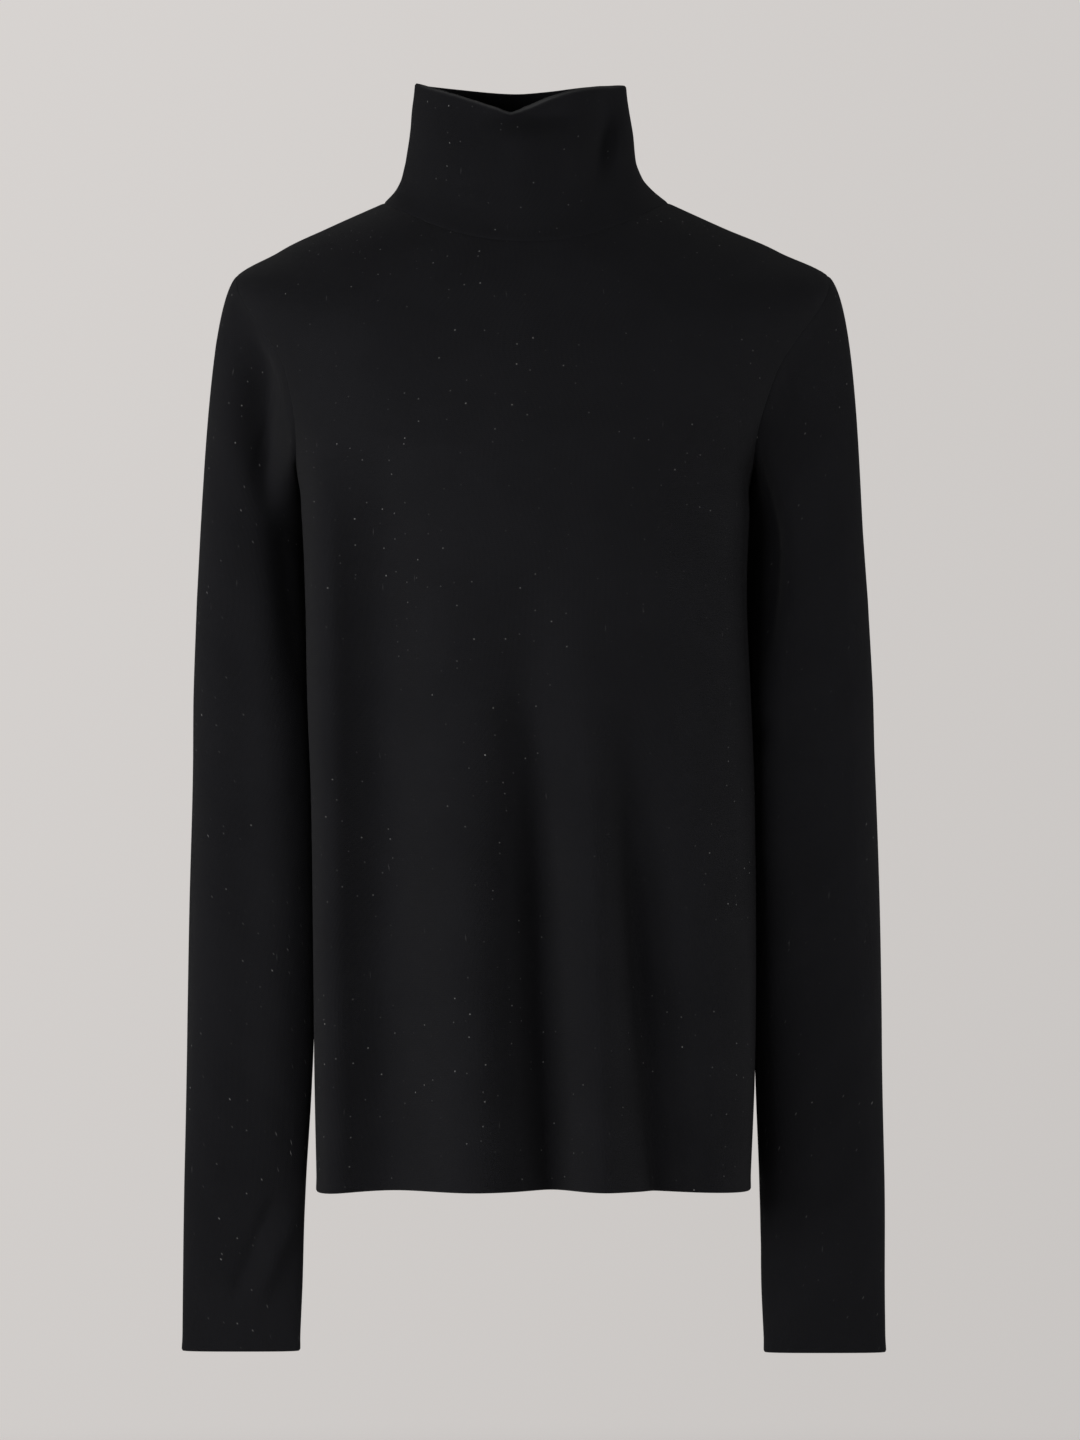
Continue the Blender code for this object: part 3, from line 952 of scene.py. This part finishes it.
@dataclass(frozen=True)
class Sleeve(KnittedPiece):
    """A set-in sleeve: a curved cap that leaves the armhole, then a hanging tube down to a plain cuff.

    The cap's values hold at the shoulder point, at mid armhole and at the underarm: how far below level
    the cloth leaves the armhole, how strongly, how strongly it lands on the first section, and how much
    of the way that it leaves comes from the torso's own surface.
    """

    side: int
    sections: tuple[SleeveSection, ...]
    creases: tuple[Crease, ...]
    front_creases: tuple[Crease, ...]
    back_creases: tuple[Crease, ...]
    columns: int = 120
    cap_rows: int = 56
    tube_rows: int = 196
    cap_slope_deg: Triple = (46.0, 60.0, 20.0)
    cap_pull: Triple = (60.0, 42.0, 12.0)
    cap_landing: Triple = (105.0, 60.0, 30.0)
    cap_flow: Triple = (0.7, 0.9, 0.0)
    cap_spread: float = 0.06
    seam_gap: float = 0.3
    angle_warp: float = 0.12
    mm_per_deg: float = 0.5
    facing_fade: float = 0.6
    seam_calm: float = 14.0
    seam_ends: int = 4
    dense_rows: int = 420

    def round_it(self, values: Triple, around: Array) -> Array:
        """A value round the armhole: the parabola of the angle's cosine that passes through three.

        Args:
            values: At the shoulder point, at mid armhole and at the underarm.
            around: Angles round the armhole.

        Returns:
            The value at each angle.
        """
        top, middle, bottom = values
        share = np.cos(around)
        return middle + (top - bottom) / 2 * share + ((top + bottom) / 2 - middle) * share**2

    def section(self, z: Array, around: Array) -> Array:
        """Level sections: a superellipse, leaning in at its back by the sine's part of the half width.

        Args:
            z: Heights.
            around: Angles from the outer side by way of the front.

        Returns:
            Points, heights by angles.
        """
        row = curve_at(table(self.sections), z)[:, None, :]
        _, inner_x, outer_x, centre_y, half_depth, lean, fullness = np.moveaxis(row, -1, 0)
        dual = fullness / (fullness - 1)
        upright = (1 - np.abs(lean) ** dual) ** (1 / dual)  # keeps the width whatever the lean
        across = signed_power(np.cos(around), 2 / fullness)
        forward = signed_power(np.sin(around), 2 / fullness)
        half_width = (outer_x - inner_x) / 2
        x = (outer_x + inner_x) / 2 + half_width * (upright * across + lean * forward)
        y = centre_y - half_depth * forward
        return np.stack([self.side * x, y, np.broadcast_to(z[:, None], x.shape)], axis=-1)

    def leave(self, torso: Torso, around: Array) -> Array:
        """Unit directions in which the cap leaves the armhole.

        They mix the way that the torso's surface runs into the armhole, so that the cloth flows on
        without a corner, with a way outwards and down at a slope of its own.

        Args:
            torso: The body surface.
            around: Angles round the armhole.

        Returns:
            One direction for each angle.
        """
        slope = np.radians(self.round_it(self.cap_slope_deg, around))
        down = np.stack([self.side * np.cos(slope), np.zeros_like(slope), -np.sin(slope)], axis=-1)
        ahead, behind = (torso.armhole(self.side, around + step) for step in (NUDGE, -NUDGE))
        flow = torso.armhole(self.side, around, beyond_deg=1.0) - torso.armhole(self.side, around)
        flow = square_to(flow, unit(ahead - behind))
        return unit(down + (flow - down) * self.round_it(self.cap_flow, around)[:, None])

    def around(self) -> Array:
        """Angles of the columns from the seam inside, a little closer at front, back and both sides."""
        even = np.pi + TURN * np.arange(self.columns) / self.columns
        return even - self.angle_warp * np.sin(4 * even)

    def grid(self, torso: Torso) -> Array:
        """Points from the armhole to the cuff.

        The cap is a cubic for each column, from the armhole in the leaving direction to the first
        section, where it lands downwards; the tube then reads the sections' curve at even heights.

        Args:
            torso: The body surface.

        Returns:
            Rows by columns by 3, before the creases.
        """
        around = self.around()
        leave = self.leave(torso, around)
        start = torso.armhole(self.side, around) + leave * self.seam_gap
        first_z, cuff_z = self.sections[0].z, self.sections[-1].z
        landing = self.section(np.array([first_z]), around)[0]
        pull = leave * self.round_it(self.cap_pull, around)[:, None]
        arrive = np.zeros_like(leave)
        arrive[:, 2] = -self.round_it(self.cap_landing, around)
        arrive[:, 0] = -self.side * self.cap_spread * arrive[:, 2]
        t = np.linspace(0, 1, self.dense_rows)[:, None, None]
        dense = cubic(t, start, pull, landing, arrive)
        cap = respaced(dense, *crowded(self.cap_rows, SEWN_EDGE, (0.0,)))
        even = np.linspace(first_z, cuff_z + FREE_EDGE[-1], self.tube_rows + 1)[1:]
        heights = np.concatenate([even, cuff_z + np.array(FREE_EDGE[-2::-1])])
        return np.concatenate([cap, self.section(heights, around)])

    def creased(self, grid: Array) -> Array:
        """Moves the points along their normals by the sum of the creases.

        The first kind is placed by the way round the sleeve, half a millimetre to a degree from its
        outer side by its front. Front and back creases are placed as seen from the front and count by
        how squarely the cloth faces that way. All fade out at the armhole.

        Args:
            grid: Points of the sleeve.

        Returns:
            The grid, moved.
        """
        outward = grid_normals(grid, True) * self.side
        girth = np.degrees(self.around())[None, :] % 360 * self.mm_per_deg
        relief = sum(crease.relief_at(girth, grid[..., 2]) for crease in self.creases)
        for way, creases in ((-1, self.front_creases), (1, self.back_creases)):
            seen = smooth_step(way * outward[..., 1] / self.facing_fade)
            for crease in creases:
                relief = relief + crease.relief_at(grid[..., 0], grid[..., 2]) * seen
        relief = relief * smooth_step(run_along(grid, 0) / self.seam_calm)
        return grid + relief[..., None] * outward

    def skin(self, bench: Bench) -> Skin:
        """Rolls the cuff, sinks the cap at the armhole and adds the allowances of both seams.

        Args:
            bench: What it is made with.

        Returns:
            The sleeve's closed skin.
        """
        grid = self.creased(self.grid(bench.torso))
        if self.side < 0:  # the columns turn the other way, so that the faces point outwards
            grid = np.concatenate([grid[:, :1], grid[:, :0:-1]], axis=1)
        armhole = bench.seams.armholes[self.side]
        grid = bench.knit.sunk(grid, True, [armhole])
        rows = slice(self.seam_ends, -self.seam_ends)
        inner_seam = SeamLine(grid[rows, 0], -grid_normals(grid, True)[rows, 0], False, 0.0)
        skin = bench.knit.shell(Cloth(grid, True), free_row=-1)
        skin = skin.joined(SEAM_ROLL.behind(armhole))
        return skin.joined(INNER_SLEEVE_ROLL.behind(inner_seam))


@dataclass(frozen=True)
class Collar(KnittedPiece):
    """The turtleneck: a standing tube on the neck seam, its plain upper edge a shallow V in front.

    The edges give heights across. Where the upper edge faces the front by more than a share, its colour is
    paled: a painted highlight for the light that the front edge catches.
    """

    rings: tuple[CollarRing, ...] = (
        CollarRing(0.0, -86.5, 77.5, -69, 58, 2.1),
        CollarRing(0.1, -80.0, 69.0, -64.5, 54, 2.1),
        CollarRing(0.2, -76.2, 62.7, -61, 51.5, 2.1),
        CollarRing(0.35, -73.6, 58.4, -57, 49.5, 2.1),
        CollarRing(0.6, -71.0, 56.6, -52, 47.5, 2.0),
        CollarRing(0.8, -69.8, 54.3, -48.5, 46, 1.85),
        CollarRing(1.0, -67.8, 52.2, -45.5, 44.5, 1.7),
    )
    front_edge: tuple[Pair, ...] = (
        (-68, 68.0), (-58, 63.6), (-48, 59.8), (-32, 54.2), (-21, 50.6), (-16, 48.6), (-13.5, 48.0),
        (-11, 48.8), (-6, 51.0), (7, 56.2), (20, 60.4), (34, 63.6), (44, 65.2), (53, 66.6),
    )
    back_edge: tuple[Pair, ...] = (
        (-68, 68.0), (-48, 67.5), (-13, 65.9), (7, 66.9), (28, 68.6), (40, 68.4), (53, 66.6),
    )
    dents: tuple[Dent, ...] = (
        Dent(2, 47, 22, 9, -9.5, 0.3),
        Dent(42.5, 39, 8.5, 27, -26.0, 0.17),
        Dent(-48, 20, 20, 30, 1.2),
    )
    back_dents: tuple[Dent, ...] = (
        Dent(-30, 34, 9, 26, -2.4, 0.2),
        Dent(22, 30, 18, 14, -1.8, -0.3),
    )
    highlight_facing: float = 0.35
    columns: int = 176
    rows: int = 36
    dense_rows: int = 240
    seam_gap: float = 0.45

    def top(self, x: Array, front: Array) -> Array:
        """Height of the upper edge across: a V with a rounded point in front, nearly level behind."""
        edges = (self.front_edge, self.back_edge)
        return np.where(front, *(curve_at(np.array(edge), x)[..., 1] for edge in edges))

    def grid(self, torso: Torso) -> Array:
        """Points from the neck seam up: superellipses whose sizes are curves of the rise, then dents.

        Args:
            torso: The body surface.

        Returns:
            Rows by columns by 3.
        """
        turn = np.radians(torso.even_turns(NECK_RING, -180.0, 180.0, self.columns)[:-1])
        across, along = np.sin(turn), np.cos(turn)
        front = along >= 0
        foot_z = torso.points(NECK_RING, np.degrees(turn))[:, 2]
        rise = np.linspace(0, 1, self.dense_rows)
        row = curve_at(table(self.rings), rise)[:, None, :]
        _, right_x, left_x, front_y, back_y, fullness = np.moveaxis(row, -1, 0)
        half_width = (left_x - right_x) / 2
        x = (left_x + right_x) / 2 + half_width * signed_power(across, 2 / fullness)
        y = np.where(front, front_y, -back_y) * signed_power(along, 2 / fullness)
        z = foot_z + (self.top(x[-1], front) - foot_z) * rise[:, None]
        front_relief = sum(dent.relief_at(x, z) for dent in self.dents)
        back_relief = sum(dent.relief_at(x, z) for dent in self.back_dents)
        y = y - np.where(front, front_relief, -back_relief) * along**2
        dense = np.stack([x, y, z], axis=-1)
        return respaced(dense, *crowded(self.rows, from_seam(self.seam_gap), FREE_EDGE))

    def skin(self, bench: Bench) -> Skin:
        """Rolls the upper edge, sinks the foot at the neck seam and adds the allowance behind it.

        Args:
            bench: What it is made with.

        Returns:
            The collar's closed skin.
        """
        neck = bench.seams.neck
        grid = bench.knit.sunk(self.grid(bench.torso), True, [neck])
        # painted highlight: the upper edge's colour is paled where it faces the front
        pale = smooth_step(-grid_normals(grid, True)[-1, :, 1] / self.highlight_facing - 1)
        return bench.knit.shell(Cloth(grid, True), -1, pale).joined(SEAM_ROLL.behind(neck))


# ---------------- finish


class NodeTree:
    """Puts shader nodes into a tree and wires them, with plain numbers as values."""

    def __init__(self, tree: bpy.types.NodeTree) -> None:
        """Starts from an empty tree."""
        self.tree = tree
        tree.nodes.clear()

    def node(self, kind: str, inputs: dict | None = None, **settings: object) -> bpy.types.Node:
        """Adds a node.

        Args:
            kind: Blender's name of the node type, without ShaderNode.
            inputs: A number, a colour or another node's output, by the input's name or number.
            **settings: Properties of the node.

        Returns:
            The node.
        """
        made = self.tree.nodes.new(f"ShaderNode{kind}")
        for key, value in settings.items():
            setattr(made, key, value)
        for key, value in (inputs or {}).items():
            if isinstance(value, Socket):
                self.tree.links.new(value, made.inputs[key])
            else:
                made.inputs[key].default_value = value
        return made

    def math(self, operation: str, *values: object) -> Socket:
        """Adds a Math node and gives its result."""
        return self.node("Math", dict(enumerate(values)), operation=operation).outputs[0]

    def spread(self, *values: object) -> Socket:
        """Maps a value smoothly, clamped: give it, its low and high, and what these two become."""
        settings = {"interpolation_type": "SMOOTHSTEP", "clamp": True}
        return self.node("MapRange", dict(enumerate(values)), **settings).outputs[0]

    def noise(self, place: Socket, scale: float, detail: float) -> Socket:
        """Adds soft noise in two dimensions and gives its value, from 0 to 1."""
        inputs = {"Vector": place, "Scale": scale, "Detail": detail}
        return self.node("TexNoise", inputs, noise_dimensions="2D").outputs["Fac"]


def blank_material(name: str) -> tuple[bpy.types.Material, NodeTree]:
    """Makes a material with nothing in it.

    Args:
        name: Its name.

    Returns:
        The material and its empty tree.
    """
    material = bpy.data.materials.new(name)
    material.use_nodes = True
    return material, NodeTree(material.node_tree)


@dataclass(frozen=True)
class KnitFinish:
    """Black fine-gauge plain knit: columns of small V stitches, a soft nap, a few pale fibre ends and a
    painted highlight where the vertices carry one.

    Places on the cloth come from the piece's own UV map, in metres: across its columns of stitches, then
    along. Each range gives the low and the high value of a noise or chance where its effect starts and
    is full.
    """

    name: str = "black_fine_knit"
    colour: Triple = (0.0105, 0.0105, 0.0120)
    colour_swing: float = 0.05
    roughness: float = 0.95
    specular: float = 0.06
    sheen: float = 0.03
    sheen_roughness: float = 0.45
    wale: float = 0.0014
    course: float = 0.00105
    stitch_lean: float = 1.5
    stitch_relief: float = 0.00016
    nap_scale: float = 1600.0
    nap_height: float = 0.8
    cloud_scale: float = 22.0
    cloud_range: Pair = (0.3, 0.7)
    patch_scale: float = 9.0
    patch_range: Pair = (0.4, 0.62)
    patch_least: float = 0.15
    fleck_cell: float = 0.0088
    fleck_radius: float = 0.0006
    fleck_rarity: float = 8.0
    # pale colour of flecks, fibre ends and the painted highlight
    fleck_and_highlight_colour: Triple = (0.36, 0.36, 0.355)
    fibre_cell: float = 0.017
    fibre_turn: float = 0.7
    fibre_stretch: float = 7.0
    fibre_radius: float = 0.0004
    fibre_range: Pair = (0.45, 1.0)
    fibre_strength: float = 0.12
    # how far the painted highlight pales the colour
    highlight_strength: float = 0.09

    def build(self) -> bpy.types.Material:
        """Makes the material: yarn whose colour swings a little, pale flecks and a painted highlight on it,
        and stitches as bump.

        Returns:
            The material.
        """
        material, nodes = blank_material(self.name)
        place = nodes.node("UVMap", uv_map=UV_NAME).outputs["UV"]
        cloud = nodes.noise(place, self.cloud_scale, 2.0)
        lighter, darker = 1 + self.colour_swing, 1 - self.colour_swing
        swing = nodes.spread(cloud, *self.cloud_range, darker, lighter)
        yarn = nodes.node("VectorMath", {0: self.colour, "Scale": swing}, operation="SCALE")
        # the pale colour marks flecks, fibre ends and the painted highlight
        mix = {0: self.specks_and_highlight(nodes, place), 6: yarn.outputs[0], 7: (*self.fleck_and_highlight_colour, 1.0)}
        bump = nodes.node("Bump", {
            "Strength": 1.0,
            "Distance": self.stitch_relief,
            "Height": self.stitches(nodes, place),
        })
        shader = nodes.node("BsdfPrincipled", {
            "Base Color": nodes.node("Mix", mix, data_type="RGBA").outputs[2],
            "Roughness": self.roughness,
            "Specular IOR Level": self.specular,
            "Sheen Weight": self.sheen,
            "Sheen Roughness": self.sheen_roughness,
            "Normal": bump.outputs["Normal"],
        })
        nodes.node("OutputMaterial", {"Surface": shader.outputs[0]})
        return material

    def stitches(self, nodes: NodeTree, place: Socket) -> Socket:
        """Height of the stitches: two slanting legs to each column, waved along by a sine, and a nap.

        A leg's height is 1 less the square of 4 times the distance from the column's middle less 1.

        Args:
            nodes: The tree.
            place: Place on the cloth.

        Returns:
            Height from 0 to about 1.
        """
        split = nodes.node("SeparateXYZ", {"Vector": place}).outputs
        column = nodes.math("FRACT", nodes.math("DIVIDE", split["X"], self.wale))
        off = nodes.math("ABSOLUTE", nodes.math("SUBTRACT", column, 0.5))
        bow = nodes.math("POWER", nodes.math("MULTIPLY_ADD", off, 4.0, -1.0), 2.0)
        leg = nodes.math("SUBTRACT", 1.0, bow)
        row = nodes.math("DIVIDE", split["Y"], self.course)
        phase = nodes.math("MULTIPLY_ADD", off, self.stitch_lean, row)
        sine = nodes.math("SINE", nodes.math("MULTIPLY", phase, TURN))
        wave = nodes.math("MULTIPLY_ADD", sine, 0.5, 0.5)
        stitch = nodes.math("MULTIPLY", leg, nodes.math("MULTIPLY_ADD", wave, 0.5, 0.5))
        nap = nodes.noise(place, self.nap_scale, 2.0)
        return nodes.math("MULTIPLY_ADD", nap, self.nap_height, stitch)

    def dots(
        self, nodes: NodeTree, place: Socket, cell: float, radius: float
    ) -> tuple[Socket, Sequence[Socket]]:
        """Adds a dot at the middle of each cell of a random pattern.

        Args:
            nodes: The tree.
            place: Place on the cloth.
            cell: Size of a cell in metres.
            radius: Radius of a dot in metres.

        Returns:
            The dots' strength, and the three chances of their cells.
        """
        where = {"Vector": place, "Scale": 1 / cell}
        cells = nodes.node("TexVoronoi", where, voronoi_dimensions="2D", feature="F1").outputs
        chances = nodes.node("SeparateColor", {"Color": cells["Color"]}).outputs
        return nodes.spread(cells["Distance"], 0.0, radius / cell, 1.0, 0.0), chances

    def specks_and_highlight(self, nodes: NodeTree, place: Socket) -> Socket:
        """Strength of the pale colour: the largest of flecks, fibre ends and the painted highlight stored on
        the vertices.

        Flecks are dots, most of them faint because their chance counts to a high power, and more in
        some patches. Fibre ends are dots in cells that are turned and drawn out.

        Args:
            nodes: The tree.
            place: Place on the cloth.

        Returns:
            Strength from 0 to 1.
        """
        patches = nodes.noise(place, self.patch_scale, 1.0)
        patches = nodes.spread(patches, *self.patch_range, self.patch_least, 1.0)
        dot, chances = self.dots(nodes, place, self.fleck_cell, self.fleck_radius)
        strength = nodes.math("MULTIPLY", nodes.math("POWER", chances[0], self.fleck_rarity), patches)
        fleck = nodes.math("MULTIPLY", dot, strength)
        turned = nodes.node("Mapping", {
            "Vector": place,
            "Rotation": (0.0, 0.0, self.fibre_turn),
            "Scale": (1.0, 1 / self.fibre_stretch, 1.0),
        }, vector_type="POINT").outputs["Vector"]
        dot, chances = self.dots(nodes, turned, self.fibre_cell, self.fibre_radius)
        strength = nodes.spread(chances[1], *self.fibre_range, 0.0, self.fibre_strength)
        fibre = nodes.math("MULTIPLY", dot, strength)
        # painted highlight: the vertices' stored strength, along the collar's front edge
        pale = nodes.node("Attribute", attribute_name=HIGHLIGHT_NAME).outputs["Fac"]
        edge = nodes.math("MULTIPLY", pale, self.highlight_strength)
        return nodes.math("MAXIMUM", nodes.math("MAXIMUM", fleck, fibre), edge)


# ---------------- studio


@dataclass(frozen=True)
class SoftLight:
    """A square soft light, placed by its angles from the front and above level as seen from the sweater."""

    name: str
    azimuth_deg: float
    elevation_deg: float
    distance: float
    size: float
    power: float

    def build(self, target: Array) -> None:
        """Adds the light, facing its target.

        Args:
            target: The point that it faces.
        """
        turn, rise = math.radians(self.azimuth_deg), math.radians(self.elevation_deg)
        level = math.cos(rise)
        away = np.array([math.sin(turn) * level, -math.cos(turn) * level, math.sin(rise)])
        lamp = bpy.data.lights.new(self.name, "AREA")
        lamp.shape = "SQUARE"
        lamp.size = self.size
        lamp.energy = self.power
        made = placed(self.name, lamp)
        made.location = target + away * self.distance
        made.rotation_euler = (math.pi / 2 - rise, 0.0, turn)


@dataclass(frozen=True)
class Studio:
    """A pale backdrop all round, a pale floor below the cuffs that fades out, soft lights and the camera."""

    backdrop: Triple = (0.632, 0.606, 0.589)
    ambient: float = 0.04
    fall_right: float = 0.52
    rise_up: float = 0.36
    floor_z: float = -1.02
    floor_radius: float = 3.2
    floor_middle: float = 0.01
    floor_rings: int = 24
    floor_sides: int = 96
    floor_fade: Pair = (1.3, 3.104)
    floor_colour: Triple = (0.62, 0.60, 0.585)
    target: Triple = (0.0, 0.0, -0.3)
    camera_place: Triple = (0.0035, -4.0, -0.3004)
    camera_height_deg: float = 11.93
    camera_clip: Pair = (0.05, 60.0)
    sensor: float = 36.0
    lights: tuple[SoftLight, ...] = (
        SoftLight("left_light", -56.0, 6.0, 1.7, 0.7, 10.5),
        SoftLight("left_front_light", -29.0, 6.0, 1.5, 0.6, 9.5),
        SoftLight("front_light", 8.0, 4.0, 3.6, 1.6, 2.0),
        SoftLight("right_light", 60.0, 0.0, 1.7, 0.8, 6.5),
        SoftLight("left_rim_light", -106.0, 12.0, 3.6, 1.2, 5.0),
        SoftLight("right_rim_light", 102.0, 12.0, 3.6, 1.2, 36.0),
        SoftLight("top_light", 170.0, 48.0, 3.2, 1.0, 8.0),
    )

    def build(self) -> None:
        """Makes world, floor, lights and camera."""
        self.light_the_world()
        self.lay_the_floor()
        for light in self.lights:
            light.build(np.array(self.target))
        eye = bpy.data.cameras.new("camera")
        eye.sensor_width = self.sensor
        eye.lens = self.sensor / 2 / math.tan(math.radians(self.camera_height_deg) / 2)
        eye.clip_start, eye.clip_end = self.camera_clip
        made = placed("camera", eye)
        made.location = self.camera_place
        made.rotation_euler = (math.pi / 2, 0.0, 0.0)
        bpy.context.scene.camera = made
        bpy.context.scene.view_settings.view_transform = "Standard"

    def light_the_world(self) -> None:
        """Backdrop colour times 1 less a share of the direction to the right plus a share of that up.

        What it sheds on the cloth is a low even level.
        """
        world = bpy.data.worlds.new("backdrop")
        bpy.context.scene.world = world
        world.use_nodes = True
        nodes = NodeTree(world.node_tree)
        direction = nodes.node("TexCoord").outputs["Generated"]
        split = nodes.node("SeparateXYZ", {"Vector": direction}).outputs
        sideways = nodes.math("MULTIPLY_ADD", split["X"], -self.fall_right, 1.0)
        level = nodes.math("MULTIPLY_ADD", split["Z"], self.rise_up, sideways)
        seen = nodes.node("LightPath").outputs["Is Camera Ray"]
        strength = nodes.node("Mix", {0: seen, 2: self.ambient, 3: level}).outputs[0]
        light = nodes.node("Background", {"Color": (*self.backdrop, 1.0), "Strength": strength})
        nodes.node("OutputWorld", {"Surface": light.outputs[0]})

    def lay_the_floor(self) -> None:
        """A flat disc of concentric rings."""
        rings, sides = self.floor_rings, self.floor_sides
        radius = self.floor_radius * np.linspace(self.floor_middle, 1, rings)[:, None]
        angle = TURN * np.arange(sides) / sides
        x, y = radius * np.cos(angle), radius * np.sin(angle)
        points = np.stack([x, y, np.full_like(x, self.floor_z)], axis=-1)
        index = np.arange(rings * sides).reshape(rings, sides)
        faces = [*quads(looped(index)[::-1]).tolist(), index[0].tolist()]
        mesh = bpy.data.meshes.new("floor")
        mesh.from_pydata(points.reshape(-1, 3).tolist(), [], faces)
        mesh.materials.append(self.floor_finish())
        placed("floor", mesh)

    def floor_finish(self) -> bpy.types.Material:
        """Matte paint that turns clear between two distances from the middle.

        Returns:
            The material.
        """
        material, nodes = blank_material("pale_floor")
        place = nodes.node("TexCoord").outputs["Object"]
        flat = nodes.node("VectorMath", {0: place, 1: (1.0, 1.0, 0.0)}, operation="MULTIPLY")
        away = nodes.node("VectorMath", {0: flat.outputs[0]}, operation="LENGTH").outputs["Value"]
        fade = nodes.spread(away, *self.floor_fade, 0.0, 1.0)
        paint = nodes.node("BsdfDiffuse", {"Color": (*self.floor_colour, 1.0)}).outputs[0]
        clear = nodes.node("BsdfTransparent").outputs[0]
        mixed = nodes.node("MixShader", {0: fade, 1: paint, 2: clear})
        nodes.node("OutputMaterial", {"Surface": mixed.outputs[0]})
        return material


# ---------------- the sweater

TORSO = Torso()
PANELS = (
    Panel(Piece.FRONT, Cut(0.421, 0.60, 0.218), 0.0, TORSO.front_armhole_deg, 168),
    Panel(Piece.BACK, Cut(0.406, 0.60, 0.210), 180.0, TORSO.back_armhole_deg, 156),
)
LEFT_SECTIONS = tuple(SleeveSection(*row) for row in (
    (-192, 125.8, 189.6, 11, 42, 0.16, 3.3),
    (-231, 124.4, 192.7, 14, 40, 0.12, 3.4),
    (-289, 125.8, 196.3, 15, 37, 0.0, 3.6),
    (-347, 127.4, 199.0, 14, 33, -0.08, 3.7),  # elbow
    (-404, 128.0, 200.8, 13, 29, -0.08, 3.7),
    (-462, 128.3, 201.7, 11, 25, -0.07, 3.6),
    (-508, 129.6, 202.0, 10, 21, -0.05, 3.4),
    (-578, 132.4, 203.2, 12, 15, 0.0, 3.0),
    (-630, 133.3, 203.2, 11, 11, 0.0, 3.0),
    (-667, 135.0, 203.6, 10, 8.5, 0.0, 3.0),  # cuff
))
RIGHT_SECTIONS = tuple(SleeveSection(*row) for row in (
    (-192, 134.2, 193.0, 20, 42, 0.16, 2.5),
    (-231, 131.8, 195.3, 26, 40, 0.12, 2.9),
    (-289, 131.2, 197.8, 28, 37, 0.0, 3.1),
    (-347, 129.6, 199.2, 28, 33, -0.08, 3.2),  # elbow
    (-404, 129.0, 200.8, 27, 29, -0.12, 3.2),
    (-462, 128.8, 201.7, 25, 25, -0.12, 3.2),
    (-508, 130.2, 202.2, 23, 21, -0.08, 3.2),
    (-578, 134.4, 203.2, 22, 15, 0.0, 3.0),
    (-630, 136.0, 203.8, 20, 11, 0.0, 3.0),
    (-667, 137.6, 204.1, 19, 8.5, 0.0, 3.0),  # cuff
))
SLEEVES = (
    Sleeve(
        Piece.SLEEVE_LEFT,
        Cut(0.339, 0.628, 0.1245),
        side=1,
        sections=LEFT_SECTIONS,
        creases=(
            Crease(((25, -324), (95, -299)), -3.0, 11),
            Crease(((10, -379), (80, -368)), 2.2, 13),
            Crease(((30, -640), (92, -596)), -2.0, 9),
            Crease(((90, -120), (90, -200)), 2.5, 14),
        ),
        front_creases=(
            Crease(((168, -250), (170, -330), (170, -460)), -2.6, 11),
            Crease(((128, -130), (136, -205), (132, -300)), -9.0, 9, fade=0.45),
        ),
        back_creases=(Crease(((170, -230), (166, -320), (168, -430)), -2.6, 12),),
    ),
    Sleeve(
        Piece.SLEEVE_RIGHT,
        Cut(0.335, 0.629, 0.1224),
        side=-1,
        sections=RIGHT_SECTIONS,
        creases=(
            Crease(((15, -324), (85, -343)), -3.0, 11),
            Crease(((10, -375), (80, -390)), 2.2, 13),
            Crease(((90, -120), (90, -200)), 2.5, 14),
        ),
        front_creases=(
            Crease(((-164, -645), (-151, -612), (-136, -580)), 4.0, 6.5, fade=0.3),
            Crease(((-177, -642), (-163, -605), (-148, -572)), -1.6, 4, fade=0.25),
            Crease(((-160, -70), (-157, -126), (-155, -155), (-150, -190)), -11.0, 9),
            Crease(((-152, -160), (-143, -205), (-138, -300)), -4.0, 11),
            Crease(((-161, -170), (-153, -260), (-148, -400), (-151, -590)), 5.0, 15, fade=0.3),
            Crease(((-177, -50), (-174, -110), (-176, -175)), 5.0, 9),
        ),
        back_creases=(
            Crease(((-157, -85), (-155, -140), (-145, -190), (-140, -240)), -6.0, 10),
            Crease(((-172, -250), (-168, -330), (-170, -430)), -2.4, 12),
        ),
    ),
)
COLLAR = Collar(Piece.COLLAR, Cut(0.469, 0.090, 0.0279, Held.STRETCHED))


def main() -> None:
    logging.basicConfig(level=logging.INFO, format="%(name)s: %(message)s")
    Studio().build()
    bench = Bench(TORSO, Seams(TORSO), Knit(), KnitFinish().build())
    for part in (*PANELS, *SLEEVES, COLLAR):
        part.build(bench)


if __name__ == "__main__":
    main()
